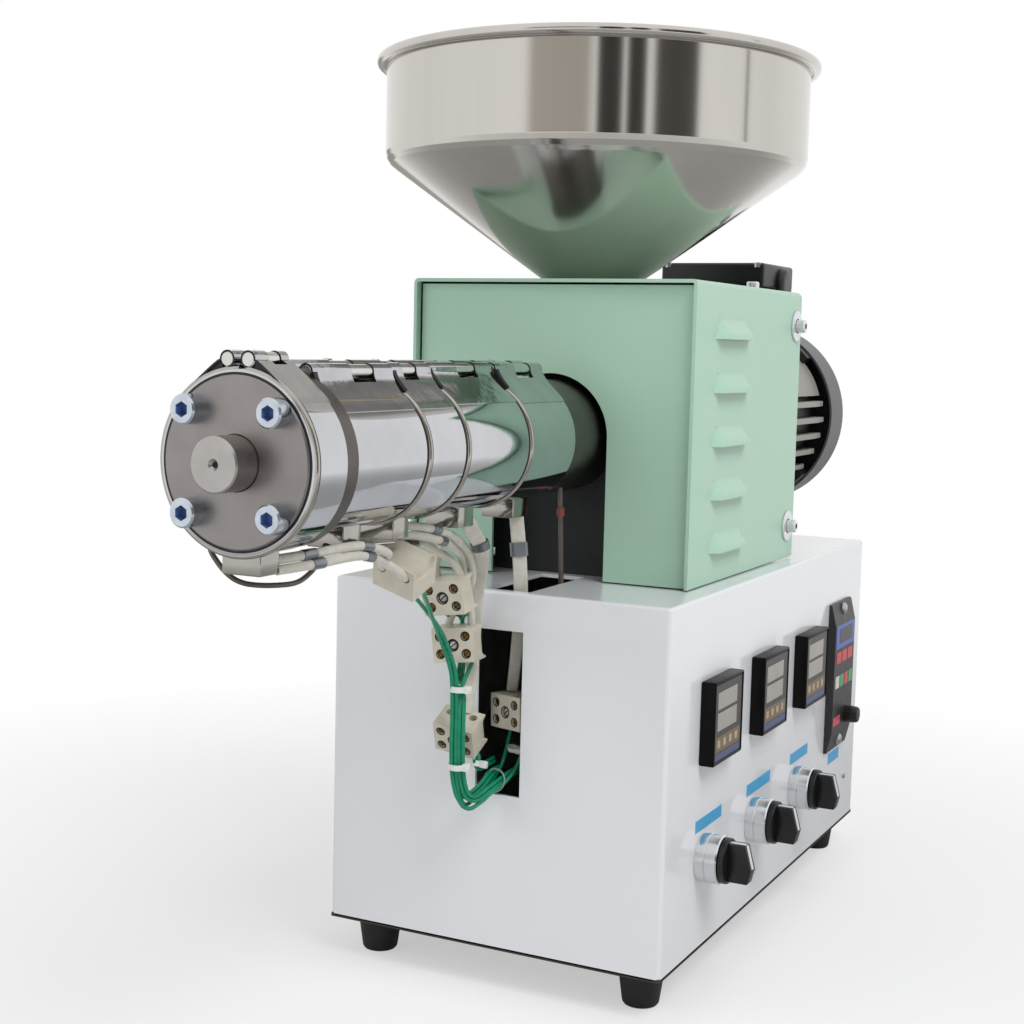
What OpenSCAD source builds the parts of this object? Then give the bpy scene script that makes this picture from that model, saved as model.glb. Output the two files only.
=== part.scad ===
// Desktop filament extruder: a heated barrel on a white sheet-metal base with a steel hopper.
// Millimetres. X to the control side, Y to the rear, Z up. Origin at the bottom centre.

/* [Housing] */
// Width of the white base box
body_w = 210; // [190:1:230]
// Depth of the white base box
body_d = 386; // [376:1:396]
// Height of the white base box without its feet
body_h = 204; // [196:1:214]
// Thickness of the folded sheet
sheet_t = 2; // [1.5:0.5:3]
// Radius of the folded upright edges
edge_r = 4.5; // [3.5:0.5:6]
// Height of the rubber feet
foot_h = 24; // [18:1:30]
// Radius of a foot where it meets the box
foot_r = 14; // [12:0.5:16]
// Width of the wiring slot and of the top cut-out
slot_w = 28; // [26:1:30]

/* [Guard] */
// Width of the green guard
guard_w = 181; // [170:1:188]
// Depth of the green guard
guard_d = 196; // [190:1:198]
// Height of the green guard above the box
guard_h = 175; // [168:1:180]
// Distance of the guard behind the front of the box
guard_y = 60; // [56:1:64]
// Setback of the front panel inside the guard
lip = 5; // [3:0.5:7]
// Radius of the arch round the barrel
arch_r = 36.5; // [36:0.5:39]

/* [Hopper] */
// Overhang of the rolled rim beyond the hopper's cylinder
rim_out = 6; // [5:0.5:8]
// Outer radius of the hopper's cylinder
hop_r = 126.5; // [120:0.5:128]
// Height of the cylinder from shoulder to rim
hop_cyl = 60; // [50:1:66]
// Height of the cone from the guard's top to the shoulder
hop_cone = 70; // [64:1:76]
// Outer radius of the throat
throat_r = 27; // [24:0.5:28]
// Wall of the hopper sheet
hop_t = 1.5; // [1:0.25:2]

/* [Barrel] */
// Height of the barrel axis above the top of the box
axis_up = 84; // [82:1:86]
// Outer radius of the barrel under the heaters
barrel_r = 32.3; // [31.5:0.1:32.5]
// Outer radius of the barrel's flange under the front heater
flange_r = 37.7; // [37.2:0.1:38.2]
// Outer radius of the barrel's neck behind the heaters
neck_r = 33; // [32.5:0.25:34]
// Reach of the die face in front of the box
reach = 241; // [236:1:246]
// Radius of the extruder screw over its flights
screw_r = 12.5; // [11:0.5:13]
// Radius of the screw circle on the die plate
die_pcd_r = 31; // [30:0.25:31.5]
// Radius of the nozzle's boss
noz_r = 12; // [10:0.25:13]
// Length of the nozzle's boss
noz_len = 15; // [12:0.5:18]
// Radius of the nozzle's hole
noz_hole = 1.25; // [0.75:0.25:2]

/* [Heaters] */
// Thickness of a heater band
band_t = 2; // [1.5:0.25:2.5]
// Radius of the rolled bead on a band's edge
bead_r = 1.4; // [1:0.1:1.7]
// Radius of a clamp pin
pin_r = 3.4; // [3:0.1:3.6]

/* [Controls] */
// Side of a temperature controller's bezel
ctl = 48; // [44:1:50]
// Thickness of a controller's bezel
ctl_t = 9; // [7:0.5:11]
// Radius of a selector's bright ring
ring_r = 14; // [13:0.5:15]
// Projection of a selector's bright ring
ring_t = 13; // [11:0.5:15]
// Projection of a selector handle beyond its ring
handle_t = 17.5; // [14:0.5:18]

/* [Drive] */
// Radius of the motor over its fins
motor_r = 64; // [60:0.5:65]
// Radius of the fan cowl
cowl_r = 69; // [67:0.5:72]
// Rear end of the fan cowl behind the front of the box
cowl_end = 452; // [446:1:458]

/* [Hidden] */
$fn = 64;
eps = 0.01;
gap = 0.3;
run = 0.05;
side_x = body_w / 2;
knob_x = side_x + ring_t + handle_t;
rim_r = hop_r + rim_out;
x_off = (rim_r - max(knob_x, rim_r)) / 2;
y_off = (reach + noz_len - cowl_end) / 2;
box_z = foot_h;
top_z = box_z + body_h;
guard_top = top_z + guard_h;
axis_z = top_z + axis_up;
shoulder_z = guard_top + hop_cone;
rim_z = shoulder_z + hop_cyl;
slot_x = 4;
slot_z0 = top_z - 115;
slot_z1 = top_z - 21.5;
cut_y0 = 7.5;
cut_y1 = 80;
foot_x = body_w / 2 - 20;
foot_y = 24;
hop_y = 119;
gear_y0 = 158;
gear_y1 = guard_y + guard_d + 2;
gear_w = 128;
gear_top = axis_z + 72;
feed_w = 92;
feed_y0 = 88;
feed_top = axis_z + 50;
die_t = 9;
die_r = flange_r - 0.6;
die_y = -reach;
barrel_y0 = die_y + die_t;
barrel_y1 = gear_y0;
flange_y = -206;
collar_r = flange_r + 1.5;
neck_y = 28;
band_y = [[-240, -215], [-205.5, -138], [-137, -100], [-99, -31], [-30, 27]];
band_in = [flange_r, barrel_r, barrel_r, barrel_r, barrel_r];
band_bead = [true, false, true, true, true];
tbox_y = [[-239, -225], [-175, -160], [-131, -116.5], [-66, -50], [-4, 14]];
tbox_x0 = -8;
tbox_w = 20;
tbox_h = 8;
loop_x = 5.3;
loop_t = 0.9;
loop_r = pin_r + loop_t;
loop_up = [loop_r - 0.5, loop_r + 0.9, loop_r + 0.9, loop_r + 0.9, loop_r + 0.9];
// Turn of each clamp from the top, and the window that bares its pins
clamp_a = [0, 8, 6, 3, 5];
win_y = [[-230, -221], [-174, -155], [-127, -114], [-70, -50], [-7, 12]];
flap_a = 31;
panel_w = 49;
panel_y0 = body_d - panel_w - 34;
panel_z0 = top_z - 143;
ctl_y0 = 73;
ctl_pitch = (panel_y0 - ctl_y0 - 55) / 2;
ctl_y = [ctl_y0, ctl_y0 + ctl_pitch, ctl_y0 + 2 * ctl_pitch];
ctl_z = top_z - 71.5;
sel_y = [for (y = ctl_y) y - 12.5];
sel_z = box_z + 53.5;
panel_h = 105;
panel_t = 5.5;
sknob_y = panel_y0 + 34;
sknob_z = panel_z0 + 23;
sknob_r = 6;
sknob_l = 14;
spindle_r = 3;
handle_w = 8.5;
motor_z = axis_z + 4;
motor_y0 = gear_y1;
motor_y1 = 410;
core_r = motor_r - 9;
cowl_y0 = 415;
fin_t = 4;
fin_pitch = 12;
fin_y0 = motor_y0 + 24;
fin_y1 = motor_y1 - 8;
fin_rows = [10, -2, -14, -26, -38, -50];
pad_z = 16;
pad_top = 58;
tb_y0 = motor_y0 + 72;
tb_y1 = tb_y0 + 70;
tb_w = 78;
tb_rim = 10;
tb_top = motor_z + 111;
// Terminal blocks: centre, with Z from the box's top, and turns about X, Y and Z
blk_w = 24;
blk_d = 17;
blk_h = 19;
blocks = [[[8.5, -114, 25.5], [115, 18, 0]], [[-11, -33, 1.5], [8, -8, 3]], [[-11, -21, -27], [0, -6, 7]],
    [[-12, -15, -78], [28, 8, 3]], [[8, 14, -69], [0, -2, -21]]];
// Routes of the leads and wires, Z from the top of the box
lead_r = 3;
wire_r = 1.5;
lead_pts = [
    [[10, -225, 40], [16, -204, 41], [16, -170, 41], [15, -150, 37.5], [13, -134, 32],
        [14, -124, 26]],
    [[-4, -160, 45], [-12, -134, 38], [-12, -106, 36], [-8, -88, 35.5], [-8, -68, 35],
        [-13, -44, 28], [-14, -32, 19], [-12, -29.5, 11]],
    [[2, -116.5, 45], [6, -92, 42], [5, -66, 36.5], [-3, -40, 29.5], [-6, -23.5, 20],
        [-7, -18, 2], [-8, -17.5, -17]],
    [[8, -50, 45], [7, -42, 38], [3, -24, 27], [-3, -12, 12], [-8, -7.5, -4], [-9, -7, -32],
        [-9, -10, -54], [-9, -15, -67]],
    [[8, 8, 42], [9, 11, 20], [9.5, 13, -4], [7.5, 15, -28], [2.5, 19, -59]]];
wire_pts = [
    [[9, -106, 24], [8.5, -102, 14], [1, -80, 2.5], [-6, -55, -12.5], [-9, -41, -24],
        [-6.5, -35, -40], [-6, -33.5, -58], [-6, -33, -92], [-4.5, -30, -110],
        [-1.5, -24, -117], [1.5, -12, -112], [4, 2, -106.5], [6, 10, -98], [8, 17, -78]],
    [[-11, -29, -7], [-14, -20, -12.5], [-16, -9, -15.5], [-15.5, -8, -36], [-9, -23, -49],
        [-7, -29.5, -62], [-7, -29.5, -92], [-6.5, -26, -107], [-4, -20, -112],
        [-0.5, -11, -108.5], [0.5, 0, -103], [0, 12, -103]],
    [[-5, -18, -36], [-4, -27, -48], [-2.5, -31.5, -60], [-2.5, -31, -92], [-1, -28, -108],
        [2, -21, -112.5], [5, -10, -109], [8.5, 3, -104.5], [11, 12, -102]],
    [[-5, -8, -85], [-3.5, -11, -93], [-3, -9, -98], [-4, 0, -99], [-5, 13, -99]]];
probe_f = [[-24, -228, 54], [-18, -232, 43], [-5, -230, 32], [8, -212, 30], [8, -196, 33],
    [5, -184, 38], [2, -175, 43]];
probe_b = [[17, 45, 56], [17, 48, 26], [16, 52, -4], [15, 54, -34]];

function up(p) = [p[0], p[1], p[2] + top_z];
function unit(v) = v / norm(v);
function tang(r, i) = unit(r[min(i + 1, len(r) - 1)] - r[max(i - 1, 0)]);
function side(t, ref) = unit(cross(t, ref));
function ring_pts(p, t, rad, ref) =
    let (u = side(t, ref), v = cross(t, u))
    [for (k = [0:7]) p + rad * (cos(45 * k) * u + sin(45 * k) * v)];

module at() {
    translate([x_off, y_off, 0]) children();
}

module tube(route, rad, ref = [1, 0.2, 0.1]) {
    n = len(route);
    pts = [for (i = [0:n - 1]) each ring_pts(up(route[i]), tang(route, i), rad, ref)];
    sides = [for (i = [0:n - 2]) for (k = [0:7])
        each [[i * 8 + k, i * 8 + (k + 1) % 8, (i + 1) * 8 + (k + 1) % 8],
            [i * 8 + k, (i + 1) * 8 + (k + 1) % 8, (i + 1) * 8 + k]]];
    caps = [[for (k = [7:-1:0]) k], [for (k = [0:7]) (n - 1) * 8 + k]];
    polyhedron(points = pts, faces = concat(sides, caps));
}

module rrect(w, d, r) {
    square([w - 2 * r, d], center = true);
    square([w, d - 2 * r], center = true);
    for (sx = [-1, 1])
        for (sy = [-1, 1])
            translate([sx * (w / 2 - r), sy * (d / 2 - r)]) circle(r);
}

// A block standing on Z with rounded upright edges
module rblock(w, d, h, r) {
    linear_extrude(height = h) rrect(w, d, r);
}

// A cylinder along Y from y0 to y1
module ycyl(r, y0, y1) {
    translate([0, y0, 0]) rotate([-90, 0, 0]) cylinder(r = r, h = y1 - y0);
}

// A cylinder along X from x0 to x1
module xcyl(r, x0, x1) {
    translate([x0, 0, 0]) rotate([0, 90, 0]) cylinder(r = r, h = x1 - x0);
}

module housing() {
    color([0.93, 0.93, 0.94])
    at() difference() {
        translate([0, body_d / 2, box_z]) rblock(body_w, body_d, body_h, edge_r);
        translate([0, body_d / 2, box_z - 1])
            rblock(body_w - 2 * sheet_t, body_d - 2 * sheet_t, body_h - sheet_t + 1, edge_r - sheet_t);
        translate([slot_x - slot_w / 2, -1, slot_z0]) cube([slot_w, sheet_t + 2, slot_z1 - slot_z0]);
        translate([slot_x - slot_w / 2, cut_y0, top_z - sheet_t - 1])
            cube([slot_w, cut_y1 - cut_y0, sheet_t + 2]);
    }
}

module base_plate() {
    color([0.25, 0.25, 0.26])
    at() translate([0, body_d / 2, box_z])
        rblock(body_w - 2 * sheet_t - 2 * gap, body_d - 2 * sheet_t - 2 * gap, sheet_t, edge_r - sheet_t);
}

module foot() {
    rotate_extrude() polygon([[0, 0], [foot_r - 6.5, 0], [foot_r - 4.5, 0.8], [foot_r - 3.4, 2.6],
        [foot_r, foot_h], [0, foot_h]]);
}

module feet() {
    color([0.06, 0.06, 0.06])
    at() for (sx = [-1, 1])
        for (y = [foot_y, body_d - foot_y])
            translate([sx * foot_x, y, 0]) foot();
}

lou_l = 60;
lou_h = 15;
lou_x = 6;
lou_pitch = 31;
lou_drop = 36;
lou_y = guard_y + 62;
lou_a = 32;
corner_r = 4.5;

module louvre_body(l, h, out) {
    difference() {
        rotate([90, 0, 0]) translate([0, 0, -l / 2]) linear_extrude(height = l)
            polygon([[0, 0], [out, 0], [out, h * 0.12], [out * 0.25, h], [0, h]]);
        for (s = [-1, 1])
            translate([0, s * l / 2, 0]) rotate([s * lou_a, 0, 0]) translate([0, s * l / 4, 0])
                cube([6 * out, l / 2, 6 * h], center = true);
    }
}

// One pressed hood, open downwards, on the side that faces +X
module louvre() {
    difference() {
        louvre_body(lou_l, lou_h, lou_x);
        translate([-sheet_t, 0, -sheet_t]) louvre_body(lou_l - sheet_t, lou_h, lou_x);
    }
}

module louvre_row() {
    for (i = [0:4])
        translate([guard_w / 2 - eps, lou_y, guard_top - lou_drop - i * lou_pitch]) louvre();
}

module guard_cover() {
    below = 20;
    mid_z = (top_z + guard_top - below) / 2;
    color([0.58, 0.78, 0.66])
    at() {
        difference() {
            translate([0, guard_y, mid_z]) rotate([-90, 0, 0])
                linear_extrude(height = guard_d) rrect(guard_w, guard_h + below, 3);
            translate([0, guard_y - 1, mid_z]) rotate([-90, 0, 0]) linear_extrude(height = guard_d + 2)
                rrect(guard_w - 2 * sheet_t, guard_h + below - 2 * sheet_t, 1);
            translate([-guard_w, guard_y - 1, top_z - 2 * below])
                cube([2 * guard_w, guard_d + 2, 2 * below]);
            translate([0, hop_y, guard_top - below]) cylinder(r = throat_r + 4, h = 2 * below);
            for (s = [-1, 1])
                for (i = [0:4])
                    translate([s * guard_w / 2, lou_y, guard_top - lou_drop - i * lou_pitch + 4])
                        cube([4 * sheet_t, lou_l - 20, 7], center = true);
            difference() {
                translate([-guard_w, guard_y + guard_d - corner_r, guard_top - corner_r])
                    cube([2 * guard_w, 2 * corner_r, 2 * corner_r]);
                translate([0, guard_y + guard_d - corner_r, guard_top - corner_r])
                    xcyl(corner_r, -2 * guard_w, 2 * guard_w);
            }
        }
        louvre_row();
        mirror([1, 0, 0]) louvre_row();
    }
}

module guard_front() {
    color([0.58, 0.78, 0.66])
    at() translate([0, guard_y + lip, 0]) difference() {
        translate([-guard_w / 2 + sheet_t, 0, top_z])
            cube([guard_w - 2 * sheet_t, sheet_t, guard_h - sheet_t]);
        translate([0, 0, axis_z]) ycyl(arch_r, -1, sheet_t + 1);
        translate([-arch_r, -1, top_z - 1]) cube([2 * arch_r, sheet_t + 2, axis_z - top_z + 1]);
    }
}

module gearbox() {
    color([0.22, 0.23, 0.24])
    at() difference() {
        translate([0, gear_y1, top_z]) rotate([90, 0, 0]) linear_extrude(height = gear_y1 - gear_y0)
            translate([0, (gear_top - top_z) / 2]) rrect(gear_w, gear_top - top_z, 8);
        translate([0, 0, axis_z]) ycyl(screw_r - 4, gear_y0 - 1, gear_y0 + 25);
    }
}

module feed_block() {
    color([0.3, 0.31, 0.32])
    at() difference() {
        translate([-feed_w / 2, feed_y0, top_z]) cube([feed_w, gear_y0 - feed_y0, feed_top - top_z]);
        translate([0, 0, axis_z]) ycyl(neck_r, feed_y0 - 1, gear_y0 + 1);
        translate([0, hop_y, axis_z]) cylinder(r = throat_r, h = 80);
    }
}

module barrel() {
    color([0.36, 0.36, 0.37])
    at() translate([0, 0, axis_z]) difference() {
        union() {
            ycyl(flange_r, barrel_y0, band_y[0][1]);
            ycyl(collar_r, band_y[0][1], flange_y);
            ycyl(barrel_r, flange_y - eps, neck_y);
            ycyl(neck_r, neck_y - eps, barrel_y1);
        }
        ycyl(screw_r + 0.2, barrel_y0 - 1, barrel_y1 + 1);
        translate([0, hop_y, 0]) cylinder(r = screw_r + 2, h = 2 * neck_r);
    }
}

module screw() {
    color([0.62, 0.62, 0.63])
    at() translate([0, 0, axis_z]) {
        ycyl(screw_r - 4, barrel_y0 + 12, gear_y0 + 25);
        for (y = [barrel_y0 + 24:24:barrel_y1 - 10]) ycyl(screw_r, y, y + 4);
    }
}

module die_plate() {
    color([0.5, 0.5, 0.51])
    at() translate([0, 0, axis_z]) difference() {
        ycyl(die_r, die_y, barrel_y0);
        ycyl(noz_r, die_y - 1, die_y + 5);
        ycyl(4, die_y, barrel_y0 + 1);
        for (a = [45:90:315])
            rotate([0, a, 0]) translate([die_pcd_r, 0, 0]) ycyl(4.2, die_y - 1, barrel_y0 + 1);
    }
}

module nozzle() {
    color([0.5, 0.5, 0.51])
    at() translate([0, 0, axis_z]) difference() {
        ycyl(noz_r, die_y - noz_len, die_y + 5);
        ycyl(noz_hole, die_y - noz_len - 1, die_y + 6);
        translate([0, die_y - noz_len - eps, 0]) rotate([-90, 0, 0])
            cylinder(r1 = noz_hole * 2, r2 = noz_hole, h = 1.5);
    }
}

module die_screws() {
    color([0.75, 0.78, 0.82])
    at() translate([0, 0, axis_z]) for (a = [45:90:315])
        rotate([0, a, 0]) translate([die_pcd_r, 0, 0]) difference() {
            union() {
                ycyl(6.5, die_y - 8, die_y);
                ycyl(4, die_y - eps, die_y + die_t);
            }
            translate([0, die_y - 9, 0]) rotate([-90, 0, 0]) cylinder(r = 3.46, h = 5, $fn = 6);
        }
}

// A clamp-on heater band with its rolled edge, pin loops and sheet terminal box
module heater_band(i) {
    y0 = band_y[i][0];
    y1 = band_y[i][1];
    out_r = band_in[i] + band_t;
    loop_h = out_r + loop_up[i];
    foot = out_r - band_t / 2;
    color([0.78, 0.78, 0.79])
    at() translate([0, 0, axis_z]) difference() {
        union() {
            ycyl(out_r, y0, y1);
            if (band_bead[i])
                translate([0, y0 + bead_r, 0]) rotate([90, 0, 0]) rotate_extrude()
                    translate([out_r - 0.2, 0]) circle(bead_r, $fn = 24);
            rotate([0, clamp_a[i], 0]) {
                for (s = [-1, 1])
                    translate([s * loop_x, 0, loop_h]) ycyl(loop_r, y0, y1);
                for (s = [-1, 1])
                    translate([0, y1, 0]) rotate([90, 0, 0]) linear_extrude(height = y1 - y0)
                        polygon([[s * foot * sin(flap_a + 3), foot * cos(flap_a + 3)],
                            [s * (loop_x + loop_r - 0.25), loop_h + 0.4],
                            [s * (loop_x + loop_r - 1.3), loop_h + 0.4],
                            [s * foot * sin(flap_a), foot * cos(flap_a)]]);
            }
            translate([tbox_x0, tbox_y[i][0], -out_r - tbox_h])
                cube([tbox_w, tbox_y[i][1] - tbox_y[i][0], tbox_h + 4]);
        }
        ycyl(band_in[i], y0 - 2, y1 + 2);
        rotate([0, clamp_a[i], 0]) {
            for (s = [-1, 1])
                translate([s * loop_x, 0, loop_h]) ycyl(pin_r, y0 - 2, y1 + 2);
            translate([-0.75, y0 - 3, 0]) cube([1.5, y1 - y0 + 6, 2 * loop_h]);
            translate([-3 * loop_x, win_y[i][0], out_r + 1])
                cube([6 * loop_x, win_y[i][1] - win_y[i][0], loop_h]);
        }
    }
}

module heater_band_1() {
    heater_band(0);
}

module heater_band_2() {
    heater_band(1);
}

module heater_band_3() {
    heater_band(2);
}

module heater_band_4() {
    heater_band(3);
}

module heater_band_5() {
    heater_band(4);
}

// Pins in the loops and the cross screws that draw the bands tight
module clamp_pins() {
    color([0.8, 0.8, 0.81])
    at() translate([0, 0, axis_z]) for (i = [0:4]) {
        loop_h = band_in[i] + band_t + loop_up[i];
        rotate([0, clamp_a[i], 0]) {
            for (s = [-1, 1])
                translate([s * loop_x, 0, loop_h]) ycyl(pin_r, band_y[i][0], band_y[i][1]);
            translate([0, (win_y[i][0] + win_y[i][1]) / 2, loop_h]) {
                xcyl(2, -loop_x - 6, loop_x);
                xcyl(3.6, -loop_x - 7.5, -loop_x - 4);
            }
        }
    }
}

module hopper() {
    z0 = axis_z + neck_r + 1;
    color([0.78, 0.78, 0.78])
    at() translate([0, hop_y, 0]) rotate_extrude($fn = 128) difference() {
        union() {
            polygon([[throat_r - hop_t, z0], [throat_r, z0], [throat_r, guard_top - 1],
                [hop_r - 4, shoulder_z - 3], [hop_r - 1.2, shoulder_z], [hop_r, shoulder_z + 4],
                [hop_r, rim_z - 3], [hop_r - hop_t, rim_z - 3], [hop_r - hop_t, shoulder_z + 4.5],
                [hop_r - hop_t - 1, shoulder_z + 1.2], [hop_r - hop_t - 3.2, shoulder_z - 1.4],
                [throat_r - hop_t, guard_top + 0.2]]);
            translate([rim_r - 3.5, rim_z - 3.5]) circle(3.5, $fn = 32);
            translate([hop_r - hop_t, rim_z - 3]) square([rim_r - hop_r, 3]);
        }
        translate([hop_r - hop_t - 10, rim_z - 8]) square([10, 20]);
    }
}

module motor() {
    color([0.35, 0.35, 0.36])
    at() translate([0, 0, motor_z]) {
        ycyl(motor_r - 2, motor_y0, motor_y0 + 12);
        ycyl(core_r, motor_y0, motor_y1 + 8);
        intersection() {
            ycyl(cowl_r - 1.5, cowl_y0 - 10, cowl_y0 + 8);
            for (a = [45, 135])
                rotate([0, a, 0]) translate([0, cowl_y0, 0]) cube([3 * cowl_r, cowl_r, 10], center = true);
        }
        intersection() {
            ycyl(motor_r, fin_y0, fin_y1);
            for (z = fin_rows)
                translate([-2 * motor_r, fin_y0, z - fin_t / 2])
                    cube([4 * motor_r, fin_y1 - fin_y0, fin_t]);
        }
        intersection() {
            ycyl(motor_r, fin_y0, fin_y1);
            for (k = [-3:3])
                translate([k * fin_pitch - fin_t / 2, fin_y0, -2 * motor_r])
                    cube([fin_t, fin_y1 - fin_y0, 2 * motor_r]);
        }
        intersection() {
            ycyl(motor_r - 2, fin_y0, fin_y1);
            translate([-2 * motor_r, fin_y0, pad_z]) cube([4 * motor_r, fin_y1 - fin_y0, pad_top - pad_z]);
        }
        translate([-tb_w / 2 + 3, tb_y0 + 3, 0]) cube([tb_w - 6, tb_y1 - tb_y0 - 6, pad_top]);
    }
}

module fan_cowl() {
    color([0.33, 0.33, 0.34])
    at() translate([0, 0, motor_z]) difference() {
        rotate([-90, 0, 0]) rotate_extrude($fn = 96) polygon([[0, cowl_end - 1.5], [0, cowl_end],
            [cowl_r - 6, cowl_end], [cowl_r - 2, cowl_end - 1.6], [cowl_r, cowl_end - 6],
            [cowl_r, cowl_y0], [cowl_r - 1.5, cowl_y0], [cowl_r - 1.5, cowl_end - 6],
            [cowl_r - 3, cowl_end - 2.6], [cowl_r - 6, cowl_end - 1.5]]);
        for (r = [18, 30, 42, 54])
            difference() {
                ycyl(r + 3, cowl_end - 4, cowl_end + 1);
                ycyl(r - 3, cowl_end - 5, cowl_end + 2);
                for (a = [0:45:135])
                    rotate([0, a, 0]) cube([300, 2000, 6], center = true);
            }
    }
}

module terminal_box() {
    color([0.08, 0.08, 0.09])
    at() translate([0, (tb_y0 + tb_y1) / 2, 0]) {
        translate([0, 0, motor_z + pad_top])
            rblock(tb_w - 6, tb_y1 - tb_y0 - 6, tb_top - tb_rim - motor_z - pad_top, 4);
        translate([0, 0, tb_top - tb_rim]) rblock(tb_w, tb_y1 - tb_y0, tb_rim, 6);
    }
}

// A two-pole porcelain block with four recessed screws and a fixing hole
module block() {
    difference() {
        translate([-blk_w / 2, -blk_d / 2, -blk_h / 2]) cube([blk_w, blk_d, blk_h]);
        for (sx = [-1, 1])
            for (sz = [-1, 1])
                translate([sx * 7.5, 0, sz * 4.8]) ycyl(2.2, -blk_d / 2 - 1, -blk_d / 2 + 4);
        ycyl(3, -blk_d / 2 - 1, -blk_d / 2 + 3);
        for (sx = [-1, 1])
            translate([sx * 7, 3.5, -blk_h]) cylinder(r = 2.4, h = 2 * blk_h);
        for (sx = [-1, 1])
            translate([0, blk_d / 2 + 1, 0]) xcyl(8.5, sx * blk_w / 2 - 2, sx * blk_w / 2 + 2);
    }
}

module terminal_blocks() {
    color([0.86, 0.83, 0.75])
    at() for (b = blocks)
        translate([b[0][0], b[0][1], top_z + b[0][2]]) rotate(b[1]) block();
}

module controller(i) {
    at() translate([side_x, ctl_y[i], ctl_z]) {
        difference() {
            rotate([0, 90, 0]) linear_extrude(height = ctl_t) rrect(ctl, ctl, 2);
            translate([ctl_t - 1, -ctl / 2 + 4, -ctl / 2 + 4]) cube([2, ctl - 8, ctl - 8]);
        }
    }
}

module controller_1() {
    color([0.05, 0.05, 0.06]) controller(0);
}

module controller_2() {
    color([0.05, 0.05, 0.06]) controller(1);
}

module controller_3() {
    color([0.05, 0.05, 0.06]) controller(2);
}

module speed_panel() {
    color([0.1, 0.1, 0.11])
    at() difference() {
        translate([0, panel_y0 + panel_w, 0]) rotate([90, 0, 0]) linear_extrude(height = panel_w)
            polygon([[side_x, panel_z0], [side_x + 2, panel_z0], [side_x + panel_t, panel_z0 + 15],
                [side_x + panel_t, panel_z0 + panel_h - 15], [side_x + 2, panel_z0 + panel_h],
                [side_x, panel_z0 + panel_h]]);
        translate([0, sknob_y, sknob_z]) xcyl(spindle_r + run, side_x + 1, side_x + 20);
    }
}

module speed_knob() {
    color([0.04, 0.04, 0.04])
    at() translate([0, sknob_y, sknob_z]) {
        xcyl(spindle_r, side_x + 1.5, side_x + panel_t + 1);
        xcyl(sknob_r, side_x + panel_t + 0.5, side_x + panel_t + sknob_l);
    }
}

module selector_ring(i) {
    color([0.8, 0.8, 0.81])
    at() translate([0, sel_y[i], sel_z]) difference() {
        union() {
            xcyl(ring_r, side_x, side_x + ring_t - 3);
            xcyl(ring_r - 1, side_x + ring_t - 3 - eps, side_x + ring_t);
        }
        xcyl(spindle_r + run, side_x + 2, side_x + ring_t + 1);
    }
}

module selector_ring_1() {
    selector_ring(0);
}

module selector_ring_2() {
    selector_ring(1);
}

module selector_ring_3() {
    selector_ring(2);
}

module selector_knob(i) {
    face = side_x + ring_t;
    half = ring_r - 3;
    color([0.04, 0.04, 0.04])
    at() translate([0, sel_y[i], sel_z]) {
        xcyl(spindle_r, side_x + 3, face + 1);
        xcyl(ring_r - 1, face + 0.5, face + 4);
        translate([face, handle_w / 2, 0]) rotate([90, 0, 0]) linear_extrude(height = handle_w)
            polygon([[3.5, -half], [handle_t - 1.9, -half], [handle_t, -0.27 * half],
                [handle_t - 3.8, half], [3.5, half]]);
    }
}

module selector_knob_1() {
    selector_knob(0);
}

module selector_knob_2() {
    selector_knob(1);
}

module selector_knob_3() {
    selector_knob(2);
}

module heater_lead(i) {
    color([0.85, 0.83, 0.78]) at() tube(lead_pts[i], lead_r);
}

module heater_lead_1() {
    heater_lead(0);
}

module heater_lead_2() {
    heater_lead(1);
}

module heater_lead_3() {
    heater_lead(2);
}

module heater_lead_4() {
    heater_lead(3);
}

module heater_lead_5() {
    heater_lead(4);
}

module green_wire(i) {
    color([0.05, 0.5, 0.34]) at() tube(wire_pts[i], wire_r);
}

module green_wire_1() {
    green_wire(0);
}

module green_wire_2() {
    green_wire(1);
}

module green_wire_3() {
    green_wire(2);
}

module green_wire_4() {
    green_wire(3);
}

module probe_front() {
    color([0.55, 0.55, 0.56]) at() tube(probe_f, 1.2);
}

module probe_rear() {
    color([0.35, 0.33, 0.33]) at() tube(probe_b, 1.5);
}

housing();
base_plate();
feet();
guard_cover();
guard_front();
gearbox();
feed_block();
barrel();
screw();
die_plate();
nozzle();
die_screws();
heater_band_1();
heater_band_2();
heater_band_3();
heater_band_4();
heater_band_5();
clamp_pins();
hopper();
motor();
fan_cowl();
terminal_box();
terminal_blocks();
controller_1();
controller_2();
controller_3();
speed_panel();
speed_knob();
selector_ring_1();
selector_ring_2();
selector_ring_3();
selector_knob_1();
selector_knob_2();
selector_knob_3();
heater_lead_1();
heater_lead_2();
heater_lead_3();
heater_lead_4();
heater_lead_5();
green_wire_1();
green_wire_2();
green_wire_3();
green_wire_4();
probe_front();
probe_rear();
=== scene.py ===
import math

import bmesh
import bpy
from mathutils import Matrix, Vector


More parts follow.
